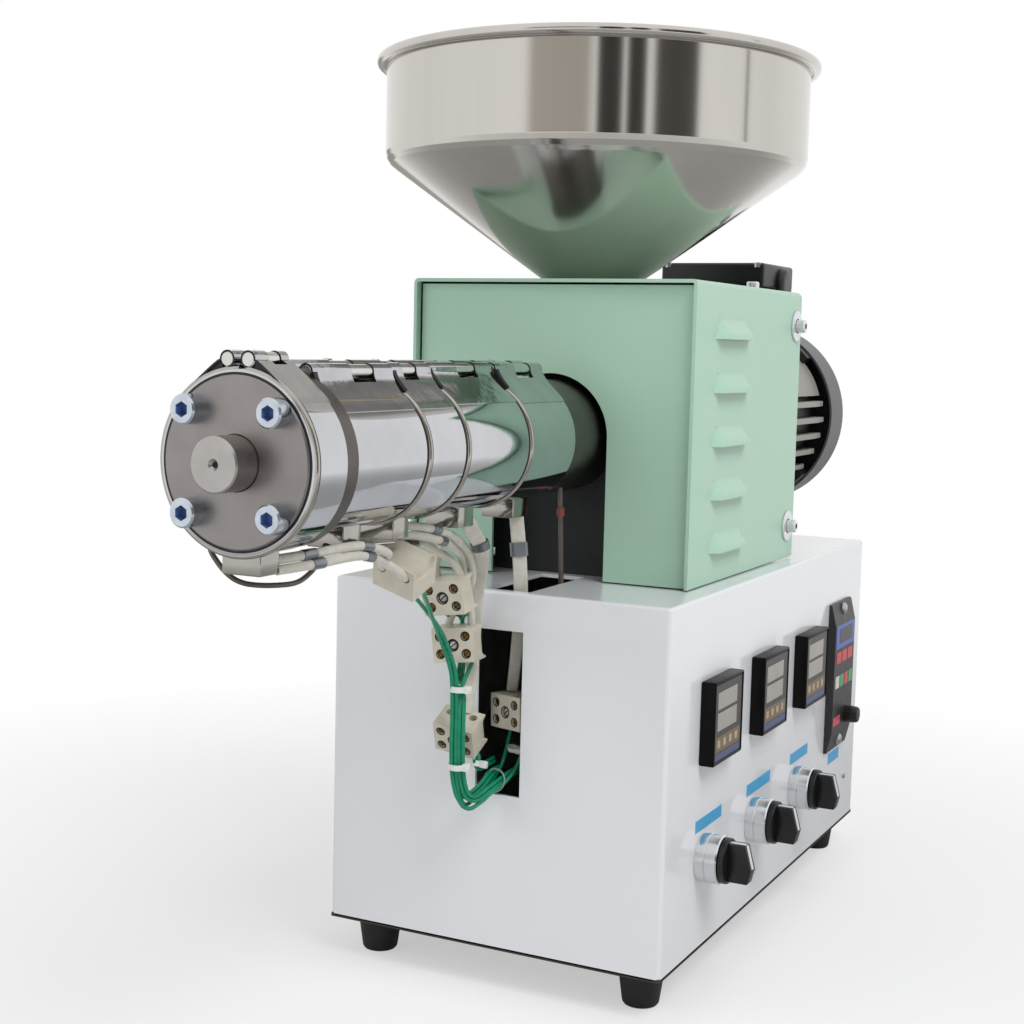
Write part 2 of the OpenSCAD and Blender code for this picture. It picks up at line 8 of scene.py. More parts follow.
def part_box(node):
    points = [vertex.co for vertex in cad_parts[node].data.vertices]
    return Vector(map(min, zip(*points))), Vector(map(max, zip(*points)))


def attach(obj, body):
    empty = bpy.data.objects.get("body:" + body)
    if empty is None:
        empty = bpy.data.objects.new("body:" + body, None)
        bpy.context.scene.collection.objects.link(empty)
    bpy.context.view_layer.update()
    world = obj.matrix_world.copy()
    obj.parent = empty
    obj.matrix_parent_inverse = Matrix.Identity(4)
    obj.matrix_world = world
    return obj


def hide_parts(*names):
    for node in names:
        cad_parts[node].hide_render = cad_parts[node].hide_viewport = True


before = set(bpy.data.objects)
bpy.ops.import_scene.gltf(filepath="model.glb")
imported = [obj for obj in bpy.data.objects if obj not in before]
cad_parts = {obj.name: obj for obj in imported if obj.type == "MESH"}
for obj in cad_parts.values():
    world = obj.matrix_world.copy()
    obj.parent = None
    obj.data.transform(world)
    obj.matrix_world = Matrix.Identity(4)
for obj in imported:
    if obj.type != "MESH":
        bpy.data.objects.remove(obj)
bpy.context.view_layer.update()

# White base box: one folded steel sheet with a glossy powder coat, grey inside.
# It has a wiring slot in its front and a cut-out in its top, and a dark plate closes it below.
# Meshes are drawn in millimetres from the middle of the box's front bottom edge.
low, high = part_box("housing")
BENCH = Matrix.Translation(((low.x + high.x) / 2, low.y, low.z)) @ Matrix.Scale(0.001, 4)


def span(node):
    """The ranges (x, y, z) that a CAD node takes up, in bench millimetres."""
    corners = [BENCH.inverted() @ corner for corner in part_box(node)]
    return list(zip(*corners))


box_x, box_y, box_z = span("housing")
box_wall = 2.0
fold_radius = 2.6
brow_radius = 2.0
slot_x = (-10.0, 18.0)
slot_z = (89.0, 182.5)
top_cut_y = (7.5, 80.0)
plate_z = (-1.1, 1.2)


def shade(code):
    """A colour as the eye names it, in the light values that shaders take."""
    parts = [int(code[i:i + 2], 16) / 255 for i in (0, 2, 4)]
    return [c / 12.92 if c <= 0.04045 else ((c + 0.055) / 1.055) ** 2.4 for c in parts] + [1.0]


def feed(stuff, node, feeds):
    """Sets a shader node's sockets to values, or links them to other nodes' outputs."""
    for socket, source in feeds.items():
        if isinstance(source, bpy.types.NodeSocket):
            stuff.node_tree.links.new(source, node.inputs[socket])
        else:
            node.inputs[socket].default_value = source


def add_node(stuff, kind, feeds, operation=None):
    """Adds a fed shader node to a material or to the surround."""
    node = stuff.node_tree.nodes.new("ShaderNode" + kind)
    if operation:
        node.operation = operation
    feed(stuff, node, feeds)
    return node


def surface(name, code, rough, metal=0.0, drift=0.06, patch=40.0, grain=0.0, size=1500.0, pull=(1, 1, 1),
            coat=0.0):
    """A finish whose colour and gloss drift slowly, with a fine grain in its normal."""
    stuff = bpy.data.materials.new(name)
    stuff.use_nodes = True
    place = add_node(stuff, "TexCoord", {}).outputs["Object"]
    lay = add_node(stuff, "Mapping", {"Vector": place, "Scale": pull}).outputs["Vector"]
    cloud = add_node(stuff, "TexNoise", {"Vector": lay, "Scale": patch, "Detail": 5.0}).outputs["Fac"]
    tint = add_node(stuff, "ValToRGB", {"Fac": cloud})
    tint.name = "tint"
    for end, spot, change in ((0, 0.3, 1 - drift), (1, 0.7, 1 + drift)):
        tint.color_ramp.elements[end].position = spot
        tint.color_ramp.elements[end].color = [min(1.0, c * change) for c in shade(code)[:3]] + [1.0]
    gloss = add_node(stuff, "MapRange", {"Value": cloud, "To Min": rough * 0.8, "To Max": rough * 1.2})
    feeds = {"Base Color": tint.outputs["Color"], "Metallic": metal, "Roughness": gloss.outputs["Result"],
             "Coat Weight": coat, "Coat Roughness": 0.05}
    if grain:
        fine = add_node(stuff, "TexNoise", {"Vector": lay, "Scale": size, "Detail": 2.0}).outputs["Fac"]
        bump = add_node(stuff, "Bump", {"Height": fine, "Strength": grain, "Distance": 0.0003})
        feeds["Normal"] = bump.outputs["Normal"]
    feed(stuff, stuff.node_tree.nodes["Principled BSDF"], feeds)
    return stuff


white_coat = surface("white_gloss_coat", "E6E8EC", 0.3, drift=0.012, patch=9, coat=0.7)
box_inside = surface("grey_box_inside", "C4C4C2", 0.8, drift=0.15)
dark_plate = surface("dark_plate", "3A322C", 0.6, drift=0.2)


def round_edges(bm, edges, radius, steps=3):
    """Rounds chosen edges of a mesh."""
    bmesh.ops.bevel(bm, geom=list(edges), offset=radius, offset_type="OFFSET", segments=steps,
                    profile=0.5, affect="EDGES", material=-1, clamp_overlap=True)


def slab(x, y, z, rounding=0.0, steps=3):
    """A block over the ranges x, y and z, with rounded edges."""
    bm = bmesh.new()
    bmesh.ops.create_cube(bm, size=1.0)
    bmesh.ops.scale(bm, vec=(x[1] - x[0], y[1] - y[0], z[1] - z[0]), verts=bm.verts)
    bmesh.ops.translate(bm, vec=(sum(x) / 2, sum(y) / 2, sum(z) / 2), verts=bm.verts)
    if rounding:
        round_edges(bm, bm.edges, rounding, steps)
    bm.normal_update()
    return bm


shell = slab(box_x, box_y, box_z)
bmesh.ops.delete(shell, geom=[f for f in shell.faces if f.normal.z < -0.9], context="FACES")
uprights = [e for e in shell.edges if abs(e.verts[0].co.z - e.verts[1].co.z) > 1]
round_edges(shell, uprights, fold_radius, 6)
brow = [e for e in shell.edges if all(v.co.z > box_z[1] - 0.1 for v in e.verts)]
round_edges(shell, brow, brow_radius, 4)


def cut_faces(bm, faces, spot, facing):
    """Cuts chosen faces along a plane through a spot."""
    edges = {e for f in faces for e in f.edges}
    verts = {v for f in faces for v in f.verts}
    bmesh.ops.bisect_plane(bm, geom=[*faces, *edges, *verts], plane_co=spot, plane_no=facing)


def window(bm, axis, level, across, along):
    """Opens a rectangle in the flat face at a level on an axis; across and along are (axis, from, to)."""
    def flat():
        return [f for f in bm.faces if all(abs(v.co[axis] - level) < 0.001 for v in f.verts)]
    for way, start, end in (across, along):
        facing = Vector([float(i == way) for i in range(3)])
        for cut in (start, end):
            cut_faces(bm, flat(), facing * cut, facing)
    gone = []
    for face in flat():
        middle = face.calc_center_median()
        if all(start < middle[way] < end for way, start, end in (across, along)):
            gone.append(face)
    bmesh.ops.delete(bm, geom=gone, context="FACES")


window(shell, 1, 0.0, (0, *slot_x), (2, *slot_z))
window(shell, 2, box_z[1], (0, *slot_x), (1, *top_cut_y))


def among(made, kind):
    """The vertices, edges or faces among what an operator made."""
    return [g for g in made if isinstance(g, kind)]


def thicken(bm, wall, finish=0):
    """Gives a sheet its thickness inwards; its inner side takes a finish of its own."""
    bmesh.ops.recalc_face_normals(bm, faces=bm.faces)
    made = bmesh.ops.solidify(bm, geom=bm.faces[:], thickness=wall)["geom"]
    for face in among(made, bmesh.types.BMFace):
        face.material_index = finish


thicken(shell, box_wall, finish=1)


def piece(name, bm, finishes, body="machine", node=None, sharp=32.0):
    """Makes the finished object of a mesh, riding on its body and standing for its CAD node."""
    bmesh.ops.remove_doubles(bm, verts=bm.verts, dist=0.0005)
    bmesh.ops.recalc_face_normals(bm, faces=bm.faces)
    bmesh.ops.transform(bm, matrix=BENCH, verts=bm.verts)
    mesh = bpy.data.meshes.new(name)
    bm.to_mesh(mesh)
    bm.free()
    for stuff in finishes:
        mesh.materials.append(stuff)
    mesh.shade_smooth()
    mesh.set_sharp_from_angle(angle=math.radians(sharp))
    made = bpy.data.objects.new(name, mesh)
    bpy.context.scene.collection.objects.link(made)
    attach(made, body)
    if node:
        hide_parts(node)
    return made


piece("base_box", shell, [white_coat, box_inside], node="housing")
piece("bottom_plate", slab(box_x, box_y, plate_z, 0.3, 2), [dark_plate], node="base_plate")

# Feet: four tapered bumpers of black rubber under the corners of the bottom plate.
# Each is held by a steel screw that sits deep in a hole in its sole.
rubber = surface("black_rubber", "161616", 0.5, drift=0.25, patch=150, grain=0.25, size=1600)
screw_steel = surface("screw_steel", "B4B6BA", 0.25, metal=1.0, drift=0.1, patch=200)
feet_x, feet_y, feet_z = span("feet")
foot_top_r = 14.0
foot_sole_r = 10.6
foot_tall = feet_z[1] - feet_z[0]
foot_shape = [(0, 4), (4.6, 4), (4.9, 3.7), (4.9, 0.6), (5.5, 0), (foot_sole_r - 3, 0),
              (foot_sole_r - 1.2, 0.5), (foot_sole_r - 0.3, 1.6), (foot_sole_r, 3),
              (foot_top_r - 0.6, foot_tall - 1.2), (foot_top_r - 0.1, foot_tall - 0.6),
              (foot_top_r - 0.1, foot_tall), (0, foot_tall)]
foot_screw = [(0, 2.2), (2.4, 2.2), (3, 2.6), (3, 4), (0, 4)]


def turned(profile, steps=64, sweep=math.tau):
    """A profile of (radius, height) points spun about Z."""
    # Stops near the ends of a long run keep its smooth shading straight
    stops = []
    for start, end in zip(profile, profile[1:]):
        run = math.dist(start, end)
        shares = (0, 0.3 / run, 1 - 0.3 / run) if run > 2 else (0,)
        stops += [[a + (b - a) * share for a, b in zip(start, end)] for share in shares]
    bm = bmesh.new()
    row = [bm.verts.new((radius, 0, height)) for radius, height in [*stops, profile[-1]]]
    edges = [bm.edges.new(pair) for pair in zip(row, row[1:])]
    whole = abs(sweep - math.tau) < 1e-6
    bmesh.ops.spin(bm, geom=row + edges, cent=(0, 0, 0), axis=(0, 0, 1), angle=sweep, steps=steps,
                   use_merge=whole)
    bmesh.ops.remove_doubles(bm, verts=bm.verts, dist=0.0005)
    bmesh.ops.recalc_face_normals(bm, faces=bm.faces)
    return bm


def at(x, y, z):
    """A place in bench millimetres."""
    return Matrix.Translation((x, y, z))


def put(bm, part, place=Matrix(), finish=0):
    """Adds a part to a mesh at its place, in one of the piece's finishes, or as it is with None."""
    bmesh.ops.transform(part, matrix=place, verts=part.verts)
    if finish is not None:
        for face in part.faces:
            face.material_index = finish
    rest = bpy.data.meshes.new("rest")
    part.to_mesh(rest)
    part.free()
    bm.from_mesh(rest)
    bpy.data.meshes.remove(rest)


feet = bmesh.new()
for foot_x in (feet_x[0] + foot_top_r, feet_x[1] - foot_top_r):
    for foot_y in (feet_y[0] + foot_top_r, feet_y[1] - foot_top_r):
        spot = at(foot_x, foot_y, feet_z[0])
        put(feet, turned(foot_shape, 48), spot)
        put(feet, turned(foot_screw, 24), spot, 1)
piece("rubber_feet", feet, [rubber, screw_steel], node="feet")

# Drive: a cast gearbox and feed block bolted on the box, a finned motor with its fan and fan cowl,
# and a moulded terminal box with a screwed lid on top. The castings keep their CAD shapes.
# The motor's paint carries painted shade: its colour is darkened near the core between the fins and towards
# the fan.


def dress(node, stuff):
    """Gives a CAD node that keeps its shape a finish."""
    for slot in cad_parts[node].material_slots:
        slot.material = stuff


cast_iron = surface("dark_cast_iron", "1F2122", 0.62, drift=0.18, patch=60, grain=0.5, size=700)
shaded_motor_paint = surface("grey_motor_paint_painted_shade", "97948E", 0.42, drift=0.05, patch=30, grain=0.16, size=900)
# The fin ends take the same grey paint without the painted shade.
fin_paint = surface("grey_fin_paint", "97948E", 0.42, drift=0.05, patch=30, grain=0.16, size=900)
cowl_paint = surface("dark_cowl_paint", "4B4D4F", 0.4, drift=0.05, patch=25, grain=0.1, size=900)
black_plastic = surface("black_moulded_plastic", "121315", 0.36, drift=0.15, patch=90, grain=0.14,
                        size=2200)
dress("gearbox", cast_iron)
dress("feed_block", cast_iron)
dress("motor", shaded_motor_paint)
dress("fan_cowl", cowl_paint)


def tilt(degrees, axis):
    """A turn about an axis."""
    return Matrix.Rotation(math.radians(degrees), 4, axis)


ALONG_X = tilt(90, "Y")
ALONG_Y = tilt(-90, "X")
cowl_y, cowl_z = span("fan_cowl")[1:]
motor_z = sum(cowl_z) / 2
motor_mid = at(0, 0, motor_z)
core_r, fin_r, crown_r = 55.0, 64.0, 61.8
fin_half = 2.0
fin_sunk = 2.0
fin_y = (cowl_y[0] - 13.5, cowl_y[0] - 3.0)
# Painted shade: the paint's colour drops to gap_shade_tone inside the fin tips and past the start of the
# fins.
gap_shade_tone = 0.04
gap_r = (0.0565, 0.0585)
gap_start = BENCH @ Vector((0, fin_y[0], motor_z))
place = add_node(shaded_motor_paint, "TexCoord", {}).outputs["Object"]
across = add_node(shaded_motor_paint, "Mapping", {"Vector": place, "Scale": (1, 0, 1),
                                           "Location": (-gap_start.x, 0, -gap_start.z)})
reach = add_node(shaded_motor_paint, "VectorMath", {0: across.outputs["Vector"]}, "LENGTH")
outer = add_node(shaded_motor_paint, "MapRange", {"Value": reach.outputs["Value"], "From Min": gap_r[0],
                                           "From Max": gap_r[1], "To Min": gap_shade_tone})
along = add_node(shaded_motor_paint, "SeparateXYZ", {"Vector": place})
ahead = add_node(shaded_motor_paint, "MapRange", {"Value": along.outputs["Y"], "From Min": gap_start.y,
                                           "From Max": gap_start.y + 0.0015, "To Min": 1.0,
                                           "To Max": gap_shade_tone})
lit = add_node(shaded_motor_paint, "Math", {0: outer.outputs["Result"], 1: ahead.outputs["Result"]}, "MULTIPLY")
paint = shaded_motor_paint.node_tree.nodes
dim = add_node(shaded_motor_paint, "VectorMath", {0: paint["tint"].outputs["Color"],
                                           "Scale": lit.outputs["Value"]}, "SCALE")
feed(shaded_motor_paint, paint["Principled BSDF"], {"Base Color": dim.outputs["Vector"]})


def trim(bm, spot, facing):
    """Cuts away what lies beyond a plane through a spot."""
    bmesh.ops.bisect_plane(bm, geom=[*bm.verts, *bm.edges, *bm.faces], plane_co=spot, plane_no=facing,
                           clear_outer=True)


fins = bmesh.new()
for fin_z in (10, -2, -14, -26, -38, -50):
    root = math.sqrt(core_r ** 2 - fin_z ** 2) - fin_sunk
    end = math.sqrt(fin_r ** 2 - (abs(fin_z) + fin_half) ** 2)
    for side in (-1, 1):
        fin_x = sorted((side * root, side * end))
        put(fins, slab(fin_x, fin_y, (fin_z - fin_half, fin_z + fin_half), 0.5, 1), motor_mid)
crown = turned([(core_r, fin_y[0]), (crown_r, fin_y[0]), (crown_r, fin_y[1]), (core_r, fin_y[1]),
                (core_r, fin_y[0])], 128)
bmesh.ops.transform(crown, matrix=ALONG_Y, verts=crown.verts)
for level, way in ((16, -1), (54, 1)):
    trim(crown, (0, 0, level), (0, 0, way))
    bmesh.ops.holes_fill(crown, edges=crown.edges)
put(fins, crown, motor_mid)
piece("motor_fin_ends", fins, [fin_paint])
fan_r = 66.0
hub_r = 14.0
disc_y = cowl_y[0] + 9
blade_y = cowl_y[1] - 6
fan = bmesh.new()
put(fan, turned([(0, disc_y), (fan_r - 0.5, disc_y), (fan_r, disc_y + 0.5), (fan_r, disc_y + 2),
                 (hub_r, disc_y + 2), (hub_r, blade_y), (0, blade_y)], 64), motor_mid @ ALONG_Y)
for blade in range(8):
    vane = slab((hub_r - 1, fan_r - 3), (disc_y + 1, blade_y), (-1, 1), 0.4, 1)
    put(fan, vane, motor_mid @ tilt(45 * blade + 22.5, "Y"))
piece("cooling_fan", fan, [black_plastic])
lid_x, lid_y, lid_z = span("terminal_box")
lid_tall = 17.0
lid_lap = 3.0
lid_screw = [(0, 0), (2.9, 0), (2.9, 3), (2.2, 3.6), (0, 3.7)]
terminal = bmesh.new()
put(terminal, slab((lid_x[0] + lid_lap, lid_x[1] - lid_lap), (lid_y[0] + lid_lap, lid_y[1] - lid_lap),
                   (lid_z[0], lid_z[1] - lid_tall + 0.5), 2.5, 4))
put(terminal, slab(lid_x, lid_y, (lid_z[1] - lid_tall, lid_z[1]), 2.2, 4))
entry = turned([(0, 0), (12.5, 0), (12.5, 2.5), (11.8, 4), (10, 5.2), (7, 5.6), (0, 5.6)], 40)
put(terminal, entry, at(lid_x[1] - 0.5, sum(lid_y) / 2 + 8, lid_z[1] - 14.5) @ ALONG_X)
for screw_x in (lid_x[0] + 5, lid_x[1] - 5):
    for screw_y in (lid_y[0] + 2, lid_y[1] - 2):
        put(terminal, turned(lid_screw, 24), at(screw_x, screw_y, lid_z[1] - 3.3), 1)
piece("terminal_box", terminal, [black_plastic, screw_steel], node="terminal_box")

# Barrel and screw: the turned steel tube that the heaters clamp on, seated in the feed block,
# and the steel feed screw inside it. Both keep their CAD shapes.
barrel_steel = surface("bare_barrel_steel", "6A6461", 0.36, metal=1.0, drift=0.12, patch=70, grain=0.1,
                       size=900)
dress("barrel", barrel_steel)
dress("screw", barrel_steel)

# Die head: a ground steel plate held on the barrel's end by four zinc-plated socket screws,
# with the turned nozzle seated in its middle.
STANDING = tilt(90, "X")
axis_z = 288.0
on_axis = at(0, 0, axis_z)
along_barrel = on_axis @ ALONG_Y
die_steel = surface("ground_die_steel", "96918F", 0.36, metal=1.0, drift=0.1, patch=60, grain=0.12,
                    size=700)
nozzle_steel = surface("turned_nozzle_steel", "B4B0AD", 0.3, metal=1.0, drift=0.1, patch=90, grain=0.1,
                       size=900)
zinc = surface("zinc_plating", "C6CED8", 0.22, metal=1.0, drift=0.12, patch=150)
socket_blue = surface("blue_socket", "7A98C6", 0.35, metal=0.4, drift=0.2, patch=300)
bore_shade_black = surface("painted_bore_shade", "0E0D0D", 0.7, drift=0.2, patch=300)
die_front, die_back = -241.0, -232.0
die_r = 37.1
melt_r = 4.0
seat_r = 12.1
seat_y = die_front + 4
die = bmesh.new()
put(die, turned([(melt_r, seat_y), (seat_r, seat_y), (seat_r, die_front + 0.3), (seat_r + 0.3, die_front),
                 (die_r - 0.7, die_front), (die_r, die_front + 0.7), (die_r, die_back),
                 (melt_r, die_back), (melt_r, seat_y)], 128), along_barrel)
piece("die_plate", die, [die_steel], node="die_plate")
tip_y = -256.0
tip_r = 12.0
outlet_r = 1.25
plug_r = 1.3
nozzle = bmesh.new()
put(nozzle, turned([(0, tip_y + 8), (outlet_r, tip_y + 8), (outlet_r, tip_y + 1.2), (2.6, tip_y),
                    (tip_r - 0.7, tip_y), (tip_r, tip_y + 0.7), (tip_r, seat_y), (0, seat_y)], 96),
    along_barrel)
# Painted shade: a black disc just inside the outlet stands for the dark of the deep bore.
put(nozzle, turned([(0, tip_y + 1.3), (plug_r, tip_y + 1.3), (plug_r, tip_y + 2), (0, tip_y + 2)], 24),
    along_barrel, 1)
piece("nozzle", nozzle, [nozzle_steel, bore_shade_black], node="nozzle")


def socket_screw(head_r, head_h, hex_r, depth):
    """A cap screw's head standing up from Z = 0; its hexagon socket takes the second finish."""
    bm = turned([(0, 0), (head_r, 0), (head_r, head_h - 0.8), (head_r - 0.8, head_h)], 48)
    rim = [e for e in bm.edges if all(v.co.z > head_h - 0.01 for v in e.verts)]
    hexagon = bmesh.ops.create_circle(bm, segments=6, radius=hex_r, cap_ends=False)["verts"]
    bmesh.ops.translate(bm, vec=(0, 0, head_h), verts=hexagon)
    sides = list({e for v in hexagon for e in v.link_edges})
    bmesh.ops.subdivide_edges(bm, edges=sides, cuts=7)
    inner = [e for e in bm.edges if e.is_wire]
    bmesh.ops.bridge_loops(bm, edges=rim + inner)
    well = bmesh.ops.extrude_edge_only(bm, edges=inner)["geom"]
    floor = among(well, bmesh.types.BMVert)
    bmesh.ops.translate(bm, vec=(0, 0, -depth), verts=floor)
    bottom = [e for e in among(well, bmesh.types.BMEdge) if all(v in floor for v in e.verts)]
    bmesh.ops.contextual_create(bm, geom=bottom)
    for face in bm.faces:
        face.material_index = int(all(v.co.xy.length < hex_r + 0.01 for v in face.verts))
    return bm


screw_circle = 31.0
screws = bmesh.new()
for quarter in range(4):
    swing = math.radians(45 + 90 * quarter)
    spot = at(screw_circle * math.cos(swing), die_front, axis_z + screw_circle * math.sin(swing))
    put(screws, socket_screw(6.5, 8.0, 3.46, 5.0), spot @ STANDING, None)
piece("die_screws", screws, [zinc, socket_blue], node="die_screws")

# Heater bands: five rings of polished sheet round the barrel, each with a terminal box below.
# All but the second have a rolled front edge. Two straps rolled into loops round bright pins,
# and a cross screw between them, clamp each band.
# Shade is painted black on them: where the first band meets the die plate, beside the beads, on the straps'
# front ends and under their rise.
band_sheet = surface("polished_band_sheet", "C6C7CA", 0.06, metal=1.0, drift=0.05, patch=50, grain=0.15,
                     size=45)
box_sheet = surface("polished_box_sheet", "ABA7A1", 0.12, metal=1.0, drift=0.08, patch=60, grain=0.35,
                    size=70)
strap_sheet = surface("crumpled_strap_sheet", "BEBFC2", 0.09, metal=1.0, drift=0.08, patch=90, grain=0.7,
                      size=110)
# A near-black finish that paints shade into gaps, under straps and in screw sockets.
shade_black = surface("painted_shade_black", "141216", 0.5, drift=0.2, patch=200)
tinted = surface("heat_tinted_edge", "CDBB93", 0.3, metal=1.0, drift=0.1, patch=200)
# Painted reflection: the rolled beads are a darker, golden copy of the band metal, standing for dark
# surroundings seen in them.
dimmed_bead_metal = surface("rolled_bead_painted_dark_reflection", "B2ADA6", 0.12, metal=1.0, drift=0.1, patch=90)
pin_steel = surface("bright_pin_steel", "D6D5D2", 0.2, metal=1.0, drift=0.05, patch=120)
band_finishes = [band_sheet, box_sheet, strap_sheet, shade_black, tinted, dimmed_bead_metal]
BOX, STRAP, SHADE_BLACK, TINT, BEAD = range(1, 6)


def arc(x, y, radius, start, end, count):
    """Points on an arc, angles in degrees."""
    turns = [math.radians(start + (end - start) * i / count) for i in range(count + 1)]
    return [(x + radius * math.cos(t), y + radius * math.sin(t)) for t in turns]


def bent_sheet(path, stops):
    """A sheet that follows a path of (x, z) points, drawn along Y through the stops."""
    bm = bmesh.new()
    row = [bm.verts.new((x, stops[0], z)) for x, z in path]
    edges = [bm.edges.new(pair) for pair in zip(row, row[1:])]
    for near, far in zip(stops, stops[1:]):
        made = bmesh.ops.extrude_edge_only(bm, edges=edges)["geom"]
        ends = set(among(made, bmesh.types.BMVert))
        bmesh.ops.translate(bm, vec=(0, far - near, 0), verts=list(ends))
        edges = [e for e in among(made, bmesh.types.BMEdge) if all(v in ends for v in e.verts)]
    return bm


def plate(outline, low, high, rounding=0.0, steps=2):
    """A flat outline of (x, y) points, thick from low to high along Z."""
    bm = bmesh.new()
    face = bm.faces.new([bm.verts.new((x, y, low)) for x, y in outline])
    raised = bmesh.ops.extrude_face_region(bm, geom=[face])["geom"]
    bmesh.ops.translate(bm, vec=(0, 0, high - low), verts=among(raised, bmesh.types.BMVert))
    bmesh.ops.recalc_face_normals(bm, faces=bm.faces)
    if rounding:
        round_edges(bm, bm.edges, rounding, steps)
    return bm


band_wall = 2.0
bead_r = 1.4
bead_split = 276
shade_line_wide = 1.5
seam_turn = 41
pin_r = 3.4
strap = 0.9
loop_mid = pin_r + strap / 2
loop_x = 5.3
loop_low = pin_r + strap - 0.5
loop_high = pin_r + strap + 0.9
# Front, back, bore radius, turn of the clamp, foot of the strap, window and terminal box of each band
bands = [(-240.0, -215.0, 37.7, 0.0, 40.0, (-230.0, -221.0), (-239.0, -225.0)),
         (-205.5, -138.0, 32.3, 8.0, 34.0, (-174.0, -155.0), (-175.0, -160.0)),
         (-137.0, -100.0, 32.3, 6.0, 36.0, (-127.0, -114.0), (-131.0, -116.5)),
         (-99.0, -31.0, 32.3, 3.0, 36.0, (-70.0, -50.0), (-66.0, -50.0)),
         (-30.0, 27.0, 32.3, 5.0, 36.0, (-7.0, 12.0), (-4.0, 14.0))]
pins = bmesh.new()
for number, (front, back, bore, turn, foot, gap, case) in enumerate(bands, 1):
    out = bore + band_wall
    loop_up = out + (loop_low if number == 1 else loop_high)
    clamp = on_axis @ tilt(turn, "Y")
    band = bmesh.new()
    put(band, turned([(bore, front), (out - 0.6, front), (out - 0.2, front + 0.2), (out, front + 0.6),
                      (out, back - 0.6), (out - 0.2, back - 0.2), (out - 0.6, back), (bore, back),
                      (bore, front)], 160), along_barrel)
    if number == 1:
        # Painted shade: a black ring where the first band meets the die plate.
        put(band, turned([(die_r + 0.1, front - 0.1), (bore + 0.5, front - 0.1), (bore + 0.5, front + 1)],
                         160), along_barrel, SHADE_BLACK)
    if number == 2:
        seam = slab((-0.5, 0.5), (front + 1, back - 1), (out - 0.2, out + 0.5), 0.15, 1)
        put(band, seam, on_axis @ tilt(seam_turn, "Y"), TINT)
    else:
        bead = turned(arc(out - 0.2, front + bead_r, bead_r, 0, 360, 16), 160, math.radians(355))
        bmesh.ops.holes_fill(bead, edges=bead.edges[:])
        put(band, bead, along_barrel @ tilt(bead_split, "Z"), BEAD)
        # Painted shade: black lines just behind each bead, and from the third band on also just ahead of it.
        shade_lines = [front + 2 * bead_r - 0.3]
        if number > 2:
            shade_lines.append(front - shade_line_wide)
        for shade_line in shade_lines:
            put(band, turned([(out - 0.3, shade_line), (out + 0.12, shade_line), (out + 0.12, shade_line + shade_line_wide),
                              (out - 0.3, shade_line + shade_line_wide)], 160), along_barrel, SHADE_BLACK)
    for side in (-1, 1):
        lying = [(out + strap / 2) * Vector((math.sin(math.radians(a)), math.cos(math.radians(a))))
                 for a in (foot + 10, foot + 7, foot + 4, foot + 2, foot)]
        start = lying[-1]
        end = Vector((loop_x + loop_mid, loop_up))
        knee_x = end.x + 1.0
        knee = Vector((knee_x, start.y + (start.x - knee_x) * math.tan(math.radians(foot))))
        rise = [start * (1 - t) ** 2 + knee * 2 * t * (1 - t) + end * t * t for t in (0.2, 0.4, 0.6, 0.8)]
        roll = arc(loop_x, loop_up, loop_mid, 0, 262, 18)
        path = [(side * x, z) for x, z in [*map(tuple, lying), *map(tuple, rise), *roll]]
        leaf = bent_sheet(path, (front + 0.3, gap[0], gap[1], back - 0.3))
        bared = [f for f in leaf.faces
                 if gap[0] < f.calc_center_median().y < gap[1] and f.calc_center_median().z > out + 1.0]
        bmesh.ops.delete(leaf, geom=bared, context="FACES")
        thicken(leaf, strap, finish=STRAP)
        leaf.normal_update()
        # Painted shade: the straps' front end faces are black.
        for face in leaf.faces:
            face.material_index = SHADE_BLACK if face.normal.y < -0.7 else STRAP
        put(band, leaf, clamp, None)
        # Painted shade: black plates fill the space under each strap's rise.
        wedge = [(p.x - 0.9, p.y - 0.5) for p in (start, *rise, end)]
        under = math.degrees(math.asin(wedge[-1][0] / (out - 0.3)))
        wedge += [(x, z) for z, x in arc(0, 0, out - 0.3, under, foot, 8)]
        for near, far in ((front + 1.2, gap[0] - 0.5), (gap[1] + 0.5, back - 1.2)):
            put(band, plate([(side * x, z) for x, z in wedge], -far, -near), clamp @ STANDING, SHADE_BLACK)
        if number > 1:
            # Painted shadow: a black cap on the front end of each strap from the second band on.
            lip = [(p.x + 0.7, p.y + 0.8) for p in (*rise, end)]
            lip += [(p.x - 0.6, p.y - 0.2) for p in (end, *reversed(rise))]
            put(band, plate([(side * x, z) for x, z in lip], -front - 2.6, -front + 0.4),
                clamp @ STANDING, SHADE_BLACK)
        bar = [(0, front + 0.2), (pin_r - 0.6, front + 0.2), (pin_r - 0.05, front + 0.8),
               (pin_r - 0.05, back - 0.8), (pin_r - 0.6, back - 0.2), (0, back - 0.2)]
        put(pins, turned(bar, 32), clamp @ at(side * loop_x, 0, loop_up) @ ALONG_Y)
    middle = sum(gap) / 2
    shank = [(0, -loop_x - 6), (2, -loop_x - 6), (2, loop_x), (0, loop_x)]
    put(pins, turned(shank, 20), clamp @ at(0, middle, loop_up) @ ALONG_X)
    put(pins, socket_screw(3.6, 3.5, 1.9, 2.0), clamp @ at(-loop_x - 4, middle, loop_up) @ tilt(-90, "Y"),
        None)
    put(band, slab((-8, 12), case, (axis_z - out - 8, axis_z - out + 3), 0.7, 3), finish=BOX)
    piece(f"heater_band_{number}", band, band_finishes, node=f"heater_band_{number}")
# The pins' cross screws have shade painted black in their sockets.
piece("clamp_pins", pins, [pin_steel, shade_black], node="clamp_pins")

